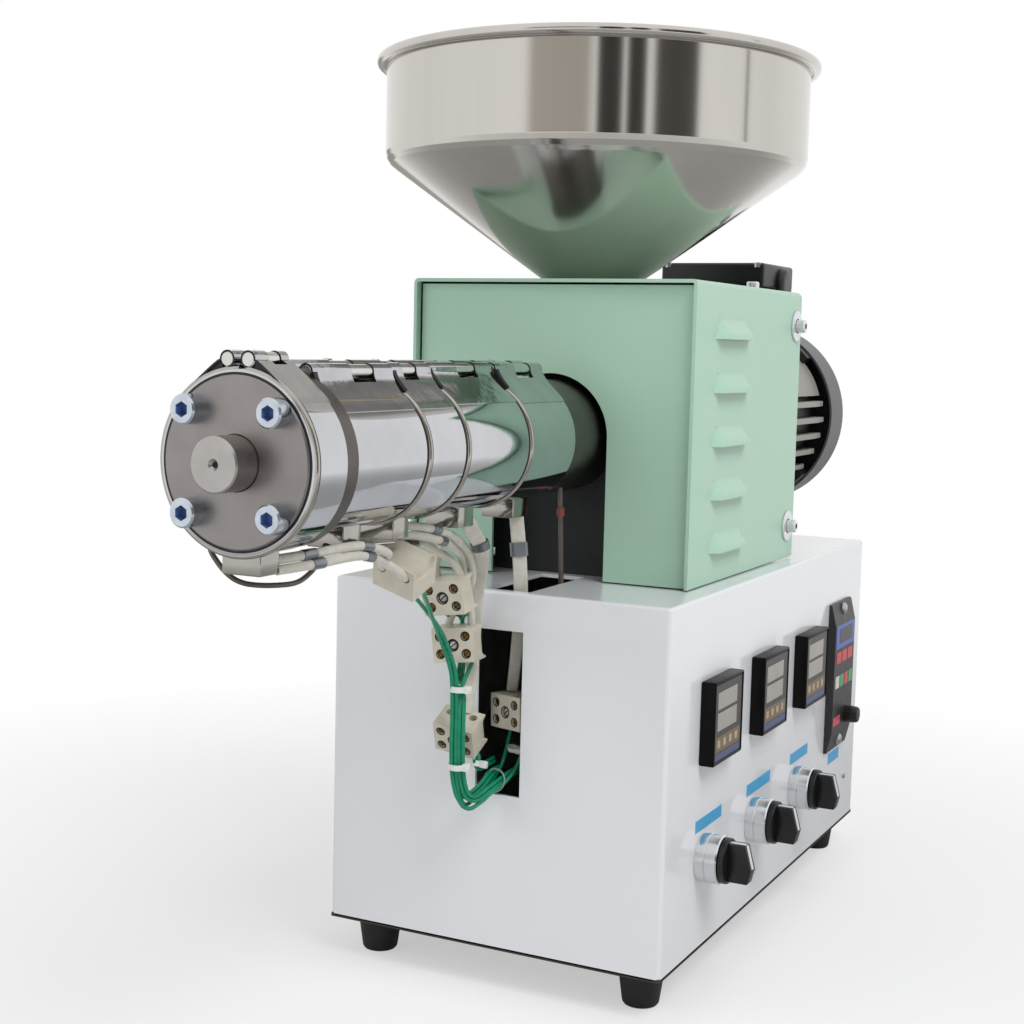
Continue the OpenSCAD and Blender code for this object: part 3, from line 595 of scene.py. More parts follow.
# Guard: a green powder-coated cover folded over the top and sides with pressed louvres,
# and a front panel set back inside its lip with an arch for the barrel. Bolts with washers hold it.
# The cover's inner side behind the front panel is painted near-black for the shade inside it.
green_coat = surface("green_powder_coat", "ADD1BB", 0.34, drift=0.015, patch=12, grain=0.05, size=700)
painted_shade_inside = surface("painted_shade_inside", "1B1B1B", 0.8, drift=0.3)
bolt_bright = surface("bright_bolt_steel", "E4E6E8", 0.3, metal=0.7, drift=0.04, patch=150)
guard_half = 90.5
guard_y, guard_z = span("guard_cover")[1:]
panel_x, panel_y, panel_z = span("guard_front")
guard_wall = 2.0
guard_fold = 3.0
corner_r = 4.5
foot_gap = 0.9
throat_hole_r = 29.0
path = [(-guard_half, guard_z[0] + foot_gap)]
path += arc(-guard_half + guard_fold, guard_z[1] - guard_fold, guard_fold, 180, 90, 5)
path += arc(guard_half - guard_fold, guard_z[1] - guard_fold, guard_fold, 90, 0, 5)
path += [(guard_half, guard_z[0] + foot_gap)]
cover = bent_sheet(path, (guard_y[0], panel_y[0], guard_y[1]))


def round_hole(bm, middle, radius):
    """Opens a round hole in a level sheet, by 36 straight cuts of which the first four frame it."""
    for step in range(36):
        turn = math.radians(step * 90 + step // 4 * 10)
        facing = Vector((math.cos(turn), math.sin(turn), 0))
        faces = []
        for face in bm.faces:
            away = face.calc_center_median() - middle
            if abs(away.z) < 0.001 and (step < 4 or max(abs(away.x), abs(away.y)) < radius):
                faces.append(face)
        cut_faces(bm, faces, middle + facing * radius, facing)
    gone = [f for f in bm.faces if (f.calc_center_median() - middle).length < radius]
    bmesh.ops.delete(bm, geom=gone, context="FACES")


round_hole(cover, Vector((0, sum(span("hopper")[1]) / 2, guard_z[1])), throat_hole_r)
for slope in (15, 35, 55, 75):
    facing = Vector((0, math.cos(math.radians(slope)), math.sin(math.radians(slope))))
    spot = Vector((0, guard_y[1] - corner_r, guard_z[1] - corner_r)) + facing * corner_r
    trim(cover, spot, facing)
hood_half, hood_tall, hood_out = 30.0, 11.5, 5.6
hood_y = guard_y[0] + 62
hood_rows = [guard_z[1] - 32.5 - 31 * i for i in range(5)]
hood_levels = (0, 0, 1.5, 3, 4.5, 6, 7.5, 9, 10.5, hood_tall)
hood_end = 0.28
for side in (-1, 1):
    for row in hood_rows:
        window(cover, 0, side * guard_half, (1, hood_y - 20, hood_y + 20), (2, row + 0.5, row + 6))
# Painted shade: the inner faces take the near-black finish, and those ahead of the front panel go back to
# green.
thicken(cover, guard_wall, finish=1)
for face in cover.faces:
    if face.calc_center_median().y < panel_y[0]:
        face.material_index = 0


def hood(side, row):
    """A pressed louvre: a pillow with sloped ends, open along its lower edge, which is turned in."""
    bm = bmesh.new()
    last = len(hood_levels) - 1
    bmesh.ops.create_grid(bm, x_segments=32, y_segments=last, size=1.0)
    for vert in bm.verts:
        share = vert.co.x
        level = round((vert.co.y + 1) / 2 * last)
        rise = hood_levels[level]
        inset = 1 if level == 0 else 0
        swell = 0.5 + 0.5 * math.cos(math.pi * max(0, rise - 2) / (hood_tall - 2))
        end = min(1, (1 - abs(share)) / hood_end)
        depth = hood_out * swell * end * end * (3 - 2 * end)
        along = share * (hood_half - 0.5 * rise)
        vert.co = (side * (guard_half + max(-0.5, depth - inset)), hood_y + along, row + rise)
    return bm


for side in (-1, 1):
    for row in hood_rows:
        put(cover, hood(side, row))
piece("guard_cover", cover, [green_coat, painted_shade_inside], node="guard_cover", sharp=50)
arch_r = 36.5
seam_gap = 1.2
left, right, head = panel_x[0] + seam_gap, panel_x[1] - seam_gap, panel_z[1] - seam_gap
sill = panel_z[0] + foot_gap
outline = [(left, sill), (-arch_r, sill), *arc(0, axis_z, arch_r, 180, 0, 40), (arch_r, sill)]
outline += [(right, sill), (right, head), (left, head)]
front_panel = bmesh.new()
put(front_panel, plate(outline, -panel_y[1], -panel_y[0]), STANDING)
piece("guard_front", front_panel, [green_coat], node="guard_front")
side_washer = [(0, 0), (9.6, 0), (10, 0.3), (10, 1.0), (9.6, 1.3), (0, 1.3)]
top_washer = [(0, 0), (8, 0), (8, 1.2), (0, 1.2)]
bolts = bmesh.new()
for side in (-1, 1):
    for bolt_y, bolt_z in ((245.0, 357.0), (242.0, 226.0)):
        spot = at(side * guard_half, bolt_y, bolt_z) @ tilt(side * 90, "Y")
        put(bolts, turned(side_washer, 48), spot)
        put(bolts, socket_screw(4.2, 5.5, 2.0, 2.4), spot @ at(0, 0, 1.3), None)
for bolt_x in (-60.0, 60.0):
    spot = at(bolt_x, 245, guard_z[1])
    put(bolts, turned(top_washer, 40), spot)
    put(bolts, socket_screw(4.2, 5.5, 2.0, 2.4), spot @ at(0, 0, 1.2), None)
# The bolts have shade painted black in their sockets.
piece("guard_bolts", bolts, [bolt_bright, shade_black])

# Hopper: a cone and cylinder of spun and polished stainless sheet with a rolled rim,
# standing on the feed block through a hole in the guard.
hopper_steel = surface("polished_hopper_steel", "C9C5BF", 0.12, metal=1.0, drift=0.05, patch=30,
                       pull=(1, 1, 0.06))
hop_y, hop_z = span("hopper")[1:]
hop_mid = sum(hop_y) / 2
rim_tube = 3.0
rim_r = (hop_y[1] - hop_y[0]) / 2
hop_wall = 1.5
wall_r = 126.5
bowl_r = wall_r - hop_wall
throat_r = 27.0
feed_r = throat_r - hop_wall
shoulder = 449.0
rim_mid = (rim_r - rim_tube, hop_z[1] - rim_tube)
outside = [(throat_r, hop_z[0]), (throat_r, guard_z[1] - 3), (throat_r + 1.2, guard_z[1]),
           (wall_r - 6, shoulder - 4.5), (wall_r - 3, shoulder - 2.2), (wall_r - 1, shoulder + 0.6),
           (wall_r, shoulder + 4), (wall_r, rim_mid[1] - 2)]
rolled = arc(*rim_mid, rim_tube, 215, 505, 22)
inside = [(bowl_r, rim_mid[1] - 2), (bowl_r, shoulder + 4.5), (bowl_r - 1, shoulder + 1.4),
          (bowl_r - 3, shoulder - 1), (bowl_r - 6, shoulder - 3.2), (feed_r + 1, guard_z[1] + 1),
          (feed_r, guard_z[1] - 2), (feed_r, hop_z[0]), (throat_r, hop_z[0])]
hopper = bmesh.new()
put(hopper, turned(outside + rolled + inside, 192), at(0, hop_mid, 0))
piece("hopper", hopper, [hopper_steel], node="hopper")

# Temperature controllers: three moulded bezels clipped into the right side, each with a membrane face
# that has two display windows, a row of four keys and a coloured strip.
bezel_black = surface("black_bezel_plastic", "0B0B0C", 0.34, drift=0.15, patch=90, grain=0.1, size=2200)
feed(bezel_black, bezel_black.node_tree.nodes["Principled BSDF"], {"Specular IOR Level": 0.12})
membrane = surface("dark_membrane", "3A3836", 0.38, drift=0.06, patch=120)
display = surface("display_window", "A29D96", 0.24, drift=0.05, patch=90)
key_brown = surface("key_strip", "74604A", 0.4, drift=0.08, patch=200)
key_mark = surface("key_mark", "AE9F89", 0.4, drift=0.06, patch=200)
strip_blue = surface("blue_grey_strip", "46537A", 0.4, drift=0.08, patch=150)
unit_finishes = [bezel_black, membrane, display, key_brown, key_mark, strip_blue]
bezel_wide = 1.2
bezel_deep = 0.6
# Fields of a face: share of it from the front, share from the top, thickness and finish
fields = [((0.05, 0.95), (0.05, 0.95), 0.05, 1), ((0.12, 0.78), (0.14, 0.345), 0.25, 2),
          ((0.12, 0.78), (0.385, 0.60), 0.25, 2), ((0.07, 0.92), (0.67, 0.85), 0.2, 3),
          ((0.07, 0.92), (0.87, 0.95), 0.2, 5)]
fields += [((0.13 + 0.2 * key, 0.22 + 0.2 * key), (0.71, 0.80), 0.4, 4) for key in range(4)]
for number in (1, 2, 3):
    unit_x, unit_y, unit_z = span(f"controller_{number}")
    unit = bmesh.new()
    bezel = slab(unit_x, unit_y, unit_z, 1.0, 3)
    face = max(bezel.faces, key=lambda f: f.calc_center_median().x * 1000 + f.calc_area())
    bmesh.ops.inset_region(bezel, faces=[face], thickness=bezel_wide, depth=-bezel_deep)
    put(unit, bezel)
    level = unit_x[1] - bezel_deep
    for across, down, thick, finish in fields:
        field_y = [unit_y[0] + (unit_y[1] - unit_y[0]) * share for share in across]
        field_z = sorted(unit_z[1] - (unit_z[1] - unit_z[0]) * share for share in down)
        put(unit, slab((level - 0.2, level + thick), field_y, field_z, 0.1, 1), finish=finish)
    piece(f"controller_{number}", unit, unit_finishes, node=f"controller_{number}")

# Speed panel: a moulded plate with sloped ends and two pan-head screws, a display in a blue frame,
# rows of coloured keys and the black speed knob on its spindle.
panel_grey = surface("dark_panel_plastic", "242324", 0.42, drift=0.06, patch=90, grain=0.1, size=2000)
frame_blue = surface("blue_frame", "4F64B4", 0.4, drift=0.05, patch=200)
key_red = surface("red_keys", "C2484E", 0.42, drift=0.08, patch=200)
key_green = surface("green_keys", "4C9A68", 0.42, drift=0.08, patch=200)
key_pale = surface("pale_keys", "CFCFCF", 0.42, drift=0.04, patch=200)
dress("speed_panel", panel_grey)
panel_face = span("speed_panel")[0][1]
panel_screw = [(0, 0), (4.2, 0), (4, 1.2), (3, 2.1), (1.5, 2.5), (0, 2.6)]
# Inlays of the face: range along the box, range in height, thickness and finish
inlays = [((305, 350), (134.5, 151), 0.25, 0), ((313, 345), (138, 148.5), 0.4, 1)]
inlays += [((307 + 14 * key, 319 + 14 * key), (124, 132), 0.35, 2) for key in range(3)]
inlays += [((307 + 11 * key, 316 + 11 * key), (106.5, 115), 0.35, finish)
           for key, finish in enumerate((4, 3, 2, 3))]
inlays += [((305, 322), (80, 86), 0.25, 2)]
marks = bmesh.new()
for inlay_y, inlay_z, thick, finish in inlays:
    put(marks, slab((panel_face - 0.2, panel_face + thick), inlay_y, inlay_z, 0.1, 1), finish=finish)
for screw_z in (161.0, 67.0):
    put(marks, turned(panel_screw, 32), at(panel_face - 2.2, 327.5, screw_z) @ ALONG_X, 5)
piece("speed_panel_marks", marks, [frame_blue, membrane, key_red, key_green, key_pale, screw_steel])
knob_x, knob_y, knob_z = span("speed_knob")
grip = turned([(0, 0), (6, 0), (6, 9), (5.6, 12.4), (4.9, 13.4), (0, 14)], 40)
knob = bmesh.new()
put(knob, grip, at(knob_x[0], sum(knob_y) / 2, sum(knob_z) / 2) @ ALONG_X)
piece("speed_knob", knob, [black_plastic], body="speed_knob", node="speed_knob")

# Selector switches: a bright turned ring screwed on the box, with a black knob whose upright handle
# has a white pointer line inlaid along its top and front edge.
ring_metal = surface("turned_aluminium", "DFE0E2", 0.16, metal=1.0, drift=0.03, patch=80, grain=0.04,
                     size=600)
pointer_white = surface("white_pointer", "DADADA", 0.4, drift=0.03, patch=200)
ring_bore = 4.0
skirt = [(0, 0.5), (12.6, 0.5), (13, 0.9), (13, 3.4), (12.5, 4), (0, 4)]
handle_side = [(3.5, -11), (15.6, -11), (17.5, -3), (13.7, 11), (3.5, 11)]
handle_half = 4.25
line_y = (-1.6, 1.6)
line_lean = math.degrees(math.atan2(14, 3.8))
for number in (1, 2, 3):
    ring_x, ring_y, ring_z = span(f"selector_ring_{number}")
    middle = (sum(ring_y) / 2, sum(ring_z) / 2)
    ring_r = (ring_y[1] - ring_y[0]) / 2
    ring = bmesh.new()
    put(ring, turned([(ring_bore, 0), (ring_r - 0.2, 0), (ring_r, 0.3), (ring_r, 5.4), (ring_r - 0.35, 5.7),
                      (ring_r - 0.35, 6.0), (ring_r - 0.1, 6.3), (ring_r - 0.1, 12.3), (ring_r - 0.8, 13),
                      (ring_r - 2, 13), (ring_r - 2, 12.4), (ring_bore, 12.4), (ring_bore, 0)], 96),
        at(ring_x[0], *middle) @ ALONG_X)
    piece(f"selector_ring_{number}", ring, [ring_metal], node=f"selector_ring_{number}")
    spot = at(ring_x[1], *middle)
    knob = bmesh.new()
    put(knob, turned(skirt, 64), spot @ ALONG_X)
    put(knob, plate(handle_side, -handle_half, handle_half, 0.7, 3), spot @ STANDING)
    put(knob, slab((3.9, 13.4), line_y, (10.6, 11.15), 0.1, 1), spot, 1)
    put(knob, slab((0.4, 14.0), line_y, (-0.5, 0.12), 0.1, 1),
        spot @ at(13.7, 0, 11) @ tilt(line_lean, "Y"), 1)
    piece(f"selector_knob_{number}", knob, [black_plastic, pointer_white], body=f"selector_knob_{number}",
          node=f"selector_knob_{number}")

# Bare label strips: four pieces of plain blue film stuck on the right side of the box.
# One small pan-head screw sits in the lower rear corner of that side.
label_blue = surface("blue_label_film", "3FA6D8", 0.35, drift=0.05, patch=120)
small_screw = [(0, 0), (2.2, 0), (2, 0.8), (1.2, 1.2), (0, 1.3)]
labels = bmesh.new()
for label_y, label_z in (((48, 91), (69.5, 76.6)), ((136.5, 182), (69.5, 77)), ((224.5, 263.5), (70, 77.2)),
                         ((316, 343), (50, 57.8))):
    put(labels, slab((box_x[1] - 0.1, box_x[1] + 0.2), label_y, label_z, 0.08, 1))
put(labels, turned(small_screw, 24), at(box_x[1], 359.6, 32.6) @ ALONG_X, 1)
piece("bare_labels", labels, [label_blue, screw_steel])

# Terminal blocks: five porcelain blocks that hang on the wires, each with four brass clamp screws
# and a steel mounting screw sunk in holes in its face, with the shade in the holes painted dark.
porcelain = surface("glazed_porcelain", "C9C3B3", 0.32, drift=0.07, patch=120, grain=0.08, size=900)
brass = surface("brass_screw", "8F6D3A", 0.34, metal=1.0, drift=0.15, patch=300)
hole_shade_black = surface("painted_hole_shade", "1C1612", 0.7, drift=0.2, patch=300)
# Middle of each block, and its roll, pitch and yaw
blocks = [((8.5, -114, 229.5), (115, 18, 0)), ((-11, -33, 205.5), (8, -8, 3)),
          ((-11, -21, 177), (0, -6, 7)), ((-12, -15, 126), (28, 8, 3)), ((8, 14, 135), (0, -2, -21))]
block_face = -8.5
block_half = 9.5
clamp_x, clamp_z = 7.5, 4.8
clamp_sunk, mount_sunk = 2.0, 1.8
dress("terminal_blocks", porcelain)


def slotted(head_r, hole_r, sunk, finish):
    """A slotted screw head in its hole, with painted shade on the hole's floor, round its mouth and in the
    slot: list of parts with their finishes.
    """
    lip = [(hole_r - 0.1, sunk), (hole_r + 0.55, sunk), (hole_r + 0.55, sunk + 0.06),
           (hole_r - 0.1, sunk + 0.06), (hole_r - 0.1, sunk)]
    return [(turned([(0, 0), (hole_r, 0), (hole_r, 0.2), (0, 0.2)], 24), 2),
            (turned(lip, 24), 2),
            (turned([(0, 0.2), (head_r, 0.2), (head_r, 0.7), (head_r - 0.3, 1), (0, 1)], 24), finish),
            (slab((-head_r, head_r), (-0.3, 0.3), (0.9, 1.06), 0.03, 1), 2)]


stands = []
clamps = bmesh.new()
for middle, (roll, pitch, yaw) in blocks:
    stand = at(*middle) @ tilt(yaw, "Z") @ tilt(pitch, "Y") @ tilt(roll, "X")
    stands.append(stand)
    for x in (-clamp_x, clamp_x):
        for z in (-clamp_z, clamp_z):
            twist = Matrix.Rotation(x * 0.3 + z, 4, "Z")
            for part, finish in slotted(1.7, 2.18, clamp_sunk, 0):
                put(clamps, part, stand @ at(x, block_face + clamp_sunk, z) @ STANDING @ twist, finish)
    twist = Matrix.Rotation(0.6, 4, "Z")
    for part, finish in slotted(2.2, 2.98, mount_sunk, 1):
        put(clamps, part, stand @ at(0, block_face + mount_sunk, 0) @ STANDING @ twist, finish)
piece("block_screws", clamps, [brass, screw_steel, hole_shade_black])

# Heater leads: woven glass-fibre that runs from the bands' terminal boxes towards the blocks and the box.
# Three are pairs of sleeves with crimped ferrules, clamped in a block at their far end,
# and two are one flat tape each with a spring clip.
sleeve = surface("glass_fibre_sleeve", "CBC8BE", 0.75, drift=0.08, patch=300, grain=0.6, size=1800)
ferrule = surface("crimped_ferrule", "8A8E92", 0.3, metal=1.0, drift=0.12, patch=200)
# The way to the viewer, from where the two wires of a pair lie side by side
toward = Vector((0.447, -0.889, 0.101))


def wire_hole(block, side, end):
    """The mouth of a block's left or right wire hole, at its upper or lower end."""
    return stands[block] @ Vector((side * 7, 3.5, end * (block_half - 1)))


def smooth_route(route, count):
    """Evenly spaced points on a smooth curve through a route's points."""
    points = [Vector(p) for p in route]
    ends = [points[0] * 2 - points[1], *points, points[-1] * 2 - points[-2]]
    fine = []
    for a, b, c, d in zip(ends, ends[1:], ends[2:], ends[3:]):
        for step in range(12):
            t = step / 12
            fine.append((b * 2 + (c - a) * t + (a * 2 - b * 5 + c * 4 - d) * t ** 2
                         + (b * 3 - a - c * 3 + d) * t ** 3) / 2)
    fine.append(points[-1])
    runs = [0.0]
    for near, far in zip(fine, fine[1:]):
        runs.append(runs[-1] + (far - near).length)
    even = []
    k = 0
    for step in range(count):
        wanted = runs[-1] * step / (count - 1)
        while k < len(fine) - 2 and runs[k + 1] < wanted:
            k += 1
        share = (wanted - runs[k]) / (runs[k + 1] - runs[k])
        even.append(fine[k].lerp(fine[k + 1], share))
    return even


def heading(line, i):
    """The way that a line of points runs at one of them."""
    return line[min(i + 1, len(line) - 1)] - line[max(i - 1, 0)]


def beside(line, shift, near=None, far=None, reach=0.2):
    """A line set to one side by a shift; its ends, a share long, may lead off to points of their own."""
    last = len(line) - 1
    moved = []
    for i, spot in enumerate(line):
        offset = heading(line, i).cross(toward).normalized() * shift
        for target, end, steps in ((near, line[0], i), (far, line[-1], last - i)):
            share = 1 - steps / last / reach
            if target and share > 0:
                offset = offset.lerp(target - end, share * share * (3 - 2 * share))
        moved.append(spot + offset)
    return moved


def strand(name, line, thick, stuff, node):
    """One round wire or sleeve along a line of points, as a bevelled curve that rides on the machine and
    stands for its CAD node.
    """
    points = [BENCH @ spot for spot in line]
    curve = bpy.data.curves.new(name, "CURVE")
    curve.dimensions = "3D"
    curve.bevel_depth = thick / 2000
    curve.bevel_resolution = 5
    curve.resolution_u = 5
    curve.use_fill_caps = True
    spline = curve.splines.new("BEZIER")
    spline.bezier_points.add(len(points) - 1)
    for knot, spot in zip(spline.bezier_points, points):
        knot.co = spot
        knot.handle_left_type = "AUTO"
        knot.handle_right_type = "AUTO"
    curve.materials.append(stuff)
    made = bpy.data.objects.new(name, curve)
    bpy.context.scene.collection.objects.link(made)
    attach(made, "machine")
    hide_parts(node)


def short_tube(inner, outer, long, steps):
    """A short tube about Z, with its middle at the origin."""
    half = long / 2
    return turned([(inner, -half), (outer, -half), (outer, half), (inner, half), (inner, -half)], steps)


def collar(line, share, radius, long, wide=1.0):
    """A short tube round a line at a share of its length."""
    k = round(share * (len(line) - 1))
    run = heading(line, k).normalized()
    tube = short_tube(radius - 0.5, radius, long, 28)
    bmesh.ops.scale(tube, vec=(wide, 1, 1), verts=tube.verts)
    across = run.cross(toward).normalized()
    turn = Matrix((across, run.cross(across), run)).transposed().to_4x4()
    bmesh.ops.transform(tube, matrix=Matrix.Translation(line[k]) @ turn, verts=tube.verts)
    return tube


def tape(name, line, width, thick, stuff, node):
    """A flat woven lead along a line, narrowing towards its far end."""
    last = len(line) - 1
    bm = bmesh.new()
    rings = []
    for i, spot in enumerate(line):
        run = heading(line, i)
        across = run.cross(toward).normalized()
        out = run.cross(across).normalized()
        wide = width * (1 - 0.4 * max(0, i / last - 0.5))
        ring = []
        for step in range(16):
            t = math.tau * step / 16
            x = math.copysign(abs(math.cos(t)) ** 0.5, math.cos(t)) * wide / 2
            y = math.copysign(abs(math.sin(t)) ** 0.5, math.sin(t)) * thick / 2
            ring.append(bm.verts.new(spot + across * x + out * y))
        rings.append(ring)
    for first, second in zip(rings, rings[1:]):
        for step in range(16):
            after = (step + 1) % 16
            bm.faces.new((first[step], first[after], second[after], second[step]))
    bm.faces.new(rings[0])
    bm.faces.new(rings[-1])
    made = piece(name, bm, [stuff], node=node, sharp=70)


lead_routes = [
    [(10, -225, 244), (16, -204, 245), (16, -170, 245), (15, -150, 241.5), (13, -134, 236),
     (14, -124, 230)],
    [(-4, -160, 249), (-12, -134, 242), (-12, -106, 240), (-8, -88, 239.5), (-8, -68, 239),
     (-13, -44, 232), (-14, -32, 223), (-12, -29.5, 215)],
    [(2, -116.5, 249), (6, -92, 246), (5, -66, 240.5), (-3, -40, 233.5), (-6, -23.5, 224),
     (-7, -18, 206), (-8, -17.5, 187)],
    [(8, -50, 249), (7, -42, 242), (3, -24, 231), (-3, -12, 216), (-8, -7.5, 200), (-9, -7, 172),
     (-9, -10, 150), (-9, -15, 137)],
    [(8, 8, 246), (9, 11, 224), (9.5, 13, 200), (7.5, 15, 176), (2.5, 19, 145)]]
sleeve_thick = 4.4
sleeve_shift = 2.3
tape_wide, tape_thick = 8.0, 2.4
# Leads that are pairs, with the places of their ferrules as shares of their length
for number, cuffs in ((1, (0.2, 0.62)), (2, (0.55,)), (3, (0.3,))):
    line = smooth_route(lead_routes[number - 1], 24)
    for letter, side in (("a", -1), ("b", 1)):
        own = beside(line, side * sleeve_shift, far=wire_hole(number - 1, side, 1))
        rings = bmesh.new()
        for share in cuffs:
            put(rings, collar(own, share + 0.03 * side, 2.55, 8))
        cuffed = piece(f"lead_ferrules_{number}{letter}", rings, [ferrule])
        strand(f"heater_lead_{number}{letter}", own, sleeve_thick, sleeve, f"heater_lead_{number}")
# Leads that are tapes, with the places of their clips
for number, share in ((4, 0.22), (5, 0.17)):
    line = smooth_route(lead_routes[number - 1], 28)
    band_clip = bmesh.new()
    put(band_clip, collar(line, share, 2.2, 8, 2.3))
    clip = piece(f"lead_clip_{number}", band_clip, [ferrule])
    tape(f"heater_lead_{number}", line, tape_wide, tape_thick, sleeve, f"heater_lead_{number}")

# Green wires: pairs of stranded wire in green insulation, clamped in the terminal blocks.
# White nylon ties and one clear ring gather them into a loop that dips into the box's slot.
green_wire = surface("green_wire_insulation", "0F8561", 0.24, drift=0.12, patch=200, grain=0.12, size=900)
tie_white = surface("white_nylon_tie", "E2E4E0", 0.4, drift=0.03, patch=200)
tie_clear = surface("clear_nylon_ring", "8D9A95", 0.15, drift=0.05, patch=200)
wire_thick = 2.3
wire_routes = [
    [(9, -106, 228), (8.5, -102, 218), (1, -80, 206.5), (-6, -55, 191.5), (-9, -41, 180),
     (-6.5, -35, 164), (-6, -33.5, 146), (-6, -33, 112), (-4.5, -30, 94), (-1.5, -24, 87),
     (1.5, -12, 92), (4, 2, 97.5), (6, 10, 106), (8, 17, 126)],
    [(-11, -29, 197), (-14, -20, 191.5), (-16, -9, 188.5), (-15.5, -8, 168), (-9, -23, 155),
     (-7, -29.5, 142), (-7, -29.5, 112), (-6.5, -26, 97), (-4, -20, 92), (-0.5, -11, 95.5),
     (0.5, 0, 101), (0, 12, 101)],
    [(-5, -18, 168), (-4, -27, 156), (-2.5, -31.5, 144), (-2.5, -31, 112), (-1, -28, 96),
     (2, -21, 91.5), (5, -10, 95), (8.5, 3, 99.5), (11, 12, 102)],
    [(-5, -8, 119), (-3.5, -11, 111), (-3, -9, 106), (-4, 0, 105), (-5, 13, 105)]]
# Place of each tie, half its width and depth, its height and its lean
tie_places = [((-4.8, -31.8, 154), (5.0, 4.2), 3.2, (0, 0)), ((-4.9, -31.3, 111), (5.0, 3.9), 3.2, (6, 0)),
              ((-3.3, -10.4, 108), (3.2, 2.3), 3.2, (-20, 0)), ((6.9, 13, 113), (3.2, 2.2), 2.6, (20, 8))]
ties = bmesh.new()
for middle, (half_x, half_y), tall, (lean_x, lean_y) in tie_places:
    leaning = at(*middle) @ tilt(lean_x, "X") @ tilt(lean_y, "Y")
    loop = short_tube(0.86, 1, tall, 40)
    bmesh.ops.scale(loop, vec=(half_x, half_y, 1), verts=loop.verts)
    put(ties, loop, leaning)
    lock = slab((half_x - 1, half_x + 2.6), (-2, 2), (-tall / 2 - 0.4, tall / 2 + 0.4), 0.4, 2)
    put(ties, lock, leaning)
bundle_ties = piece("bundle_ties", ties, [tie_white])
ring = bmesh.new()
put(ring, turned(arc(6.4, 0, 0.5, 0, 360, 10), 48), at(3.4, -2.5, 97.5) @ tilt(70, "X"))
clear_ring = piece("clear_ring", ring, [tie_clear])
for number, route in enumerate(wire_routes, 1):
    line = smooth_route(route, 32)
    for letter, side in (("a", -1), ("b", 1)):
        if number == 1:
            near = line[0] + Vector((side * 4, 0, 0))
            own = beside(line, side * wire_thick / 2, near, wire_hole(4, side, -1), 0.36)
        else:
            own = beside(line, side * wire_thick / 2, wire_hole(number - 1, side, -1))
        strand(f"green_wire_{number}{letter}", own, wire_thick, green_wire, f"green_wire_{number}")

# Probes: two thin sheathed thermocouple leads, one at the front band and one at the barrel's neck
# with a red-brown collar where it screws in.
probe_metal = surface("braided_probe_lead", "6E655F", 0.4, metal=0.7, drift=0.1, patch=300, grain=0.4,
                      size=2500)
collar_red = surface("red_brown_collar", "7A4236", 0.5, drift=0.12, patch=200)
front_route = [(-24, -228, 258), (-18, -232, 247), (-5, -230, 236), (8, -212, 234), (8, -196, 237),
               (5, -184, 242), (2, -175, 247)]
rear_route = [(17, 45, 260), (17, 48, 230), (16, 52, 200), (15, 54, 170)]
strand("probe_front", smooth_route(front_route, 24), 2.4, probe_metal, "probe_front")
rear_line = smooth_route(rear_route, 20)
red_ring = bmesh.new()
put(red_ring, collar(rear_line, 0.18, 2.3, 5))
probe_collar = piece("probe_collar", red_ring, [collar_red])
strand("probe_rear", rear_line, 3.0, probe_metal, "probe_rear")

# Studio floor: a pale round sheet that fades into the white surround away from the machine.
# Polished metal sees it greyer near the machine than the camera does. It is no part of the object.


def stage_piece(name, bm, stuff):
    """Makes an object of the studio, drawn in metres."""
    mesh = bpy.data.meshes.new(name)
    bm.to_mesh(mesh)
    bm.free()
    mesh.materials.append(stuff)
    made = bpy.data.objects.new(name, mesh)
    bpy.context.scene.collection.objects.link(made)
    return made


floor_paint = surface("pale_floor", "F0F0F0", 0.9, drift=0.005, patch=2)
floor_nodes = floor_paint.node_tree.nodes
ray = add_node(floor_paint, "LightPath", {}).outputs
seen = add_node(floor_paint, "Math", {0: ray["Is Camera Ray"], 1: ray["Is Glossy Ray"]}, "MAXIMUM")
where = add_node(floor_paint, "TexCoord", {}).outputs["Object"]
away = add_node(floor_paint, "VectorMath", {0: where}, "LENGTH").outputs["Value"]
fade = add_node(floor_paint, "MapRange", {"Value": away, "From Min": 0.2, "From Max": 0.8, "To Min": 0.5})
glowing = add_node(floor_paint, "Math", {0: fade.outputs["Result"], 1: seen.outputs["Value"]}, "MULTIPLY")
greyer = add_node(floor_paint, "MapRange", {"Value": away, "From Min": 0.3, "From Max": 1.7, "To Min": 0.22})
tone = add_node(floor_paint, "MapRange", {"Value": ray["Is Glossy Ray"], "To Min": 1.0,
                                          "To Max": greyer.outputs["Result"]})
glow = add_node(floor_paint, "Emission", {"Strength": tone.outputs["Result"]})
blend = add_node(floor_paint, "MixShader", {"Fac": glowing.outputs["Value"], 2: glow.outputs["Emission"],
                                            1: floor_nodes["Principled BSDF"].outputs["BSDF"]})
feed(floor_paint, floor_nodes["Material Output"], {"Surface": blend.outputs["Shader"]})
ground = bmesh.new()
bmesh.ops.create_circle(ground, cap_ends=True, radius=8.0, segments=96)
stage_piece("studio_floor", ground, floor_paint)

# Surround and lamps: a white surround that is dimmer as a light than to the eye,
# and two square soft lamps that polished metal does not show.
world = bpy.data.worlds.new("white_surround")
bpy.context.scene.world = world
world.use_nodes = True
ray = add_node(world, "LightPath", {}).outputs
plain = add_node(world, "Math", {0: ray["Is Camera Ray"], 1: ray["Is Glossy Ray"]}, "MAXIMUM")
seen = add_node(world, "Math", {0: plain.outputs["Value"], 1: ray["Is Transmission Ray"]}, "MAXIMUM")
level = add_node(world, "MapRange", {"Value": seen.outputs["Value"], "To Min": 0.42, "To Max": 1.0})
feed(world, world.node_tree.nodes["Background"], {"Color": (1, 1, 1, 1),
                                                  "Strength": level.outputs["Result"]})


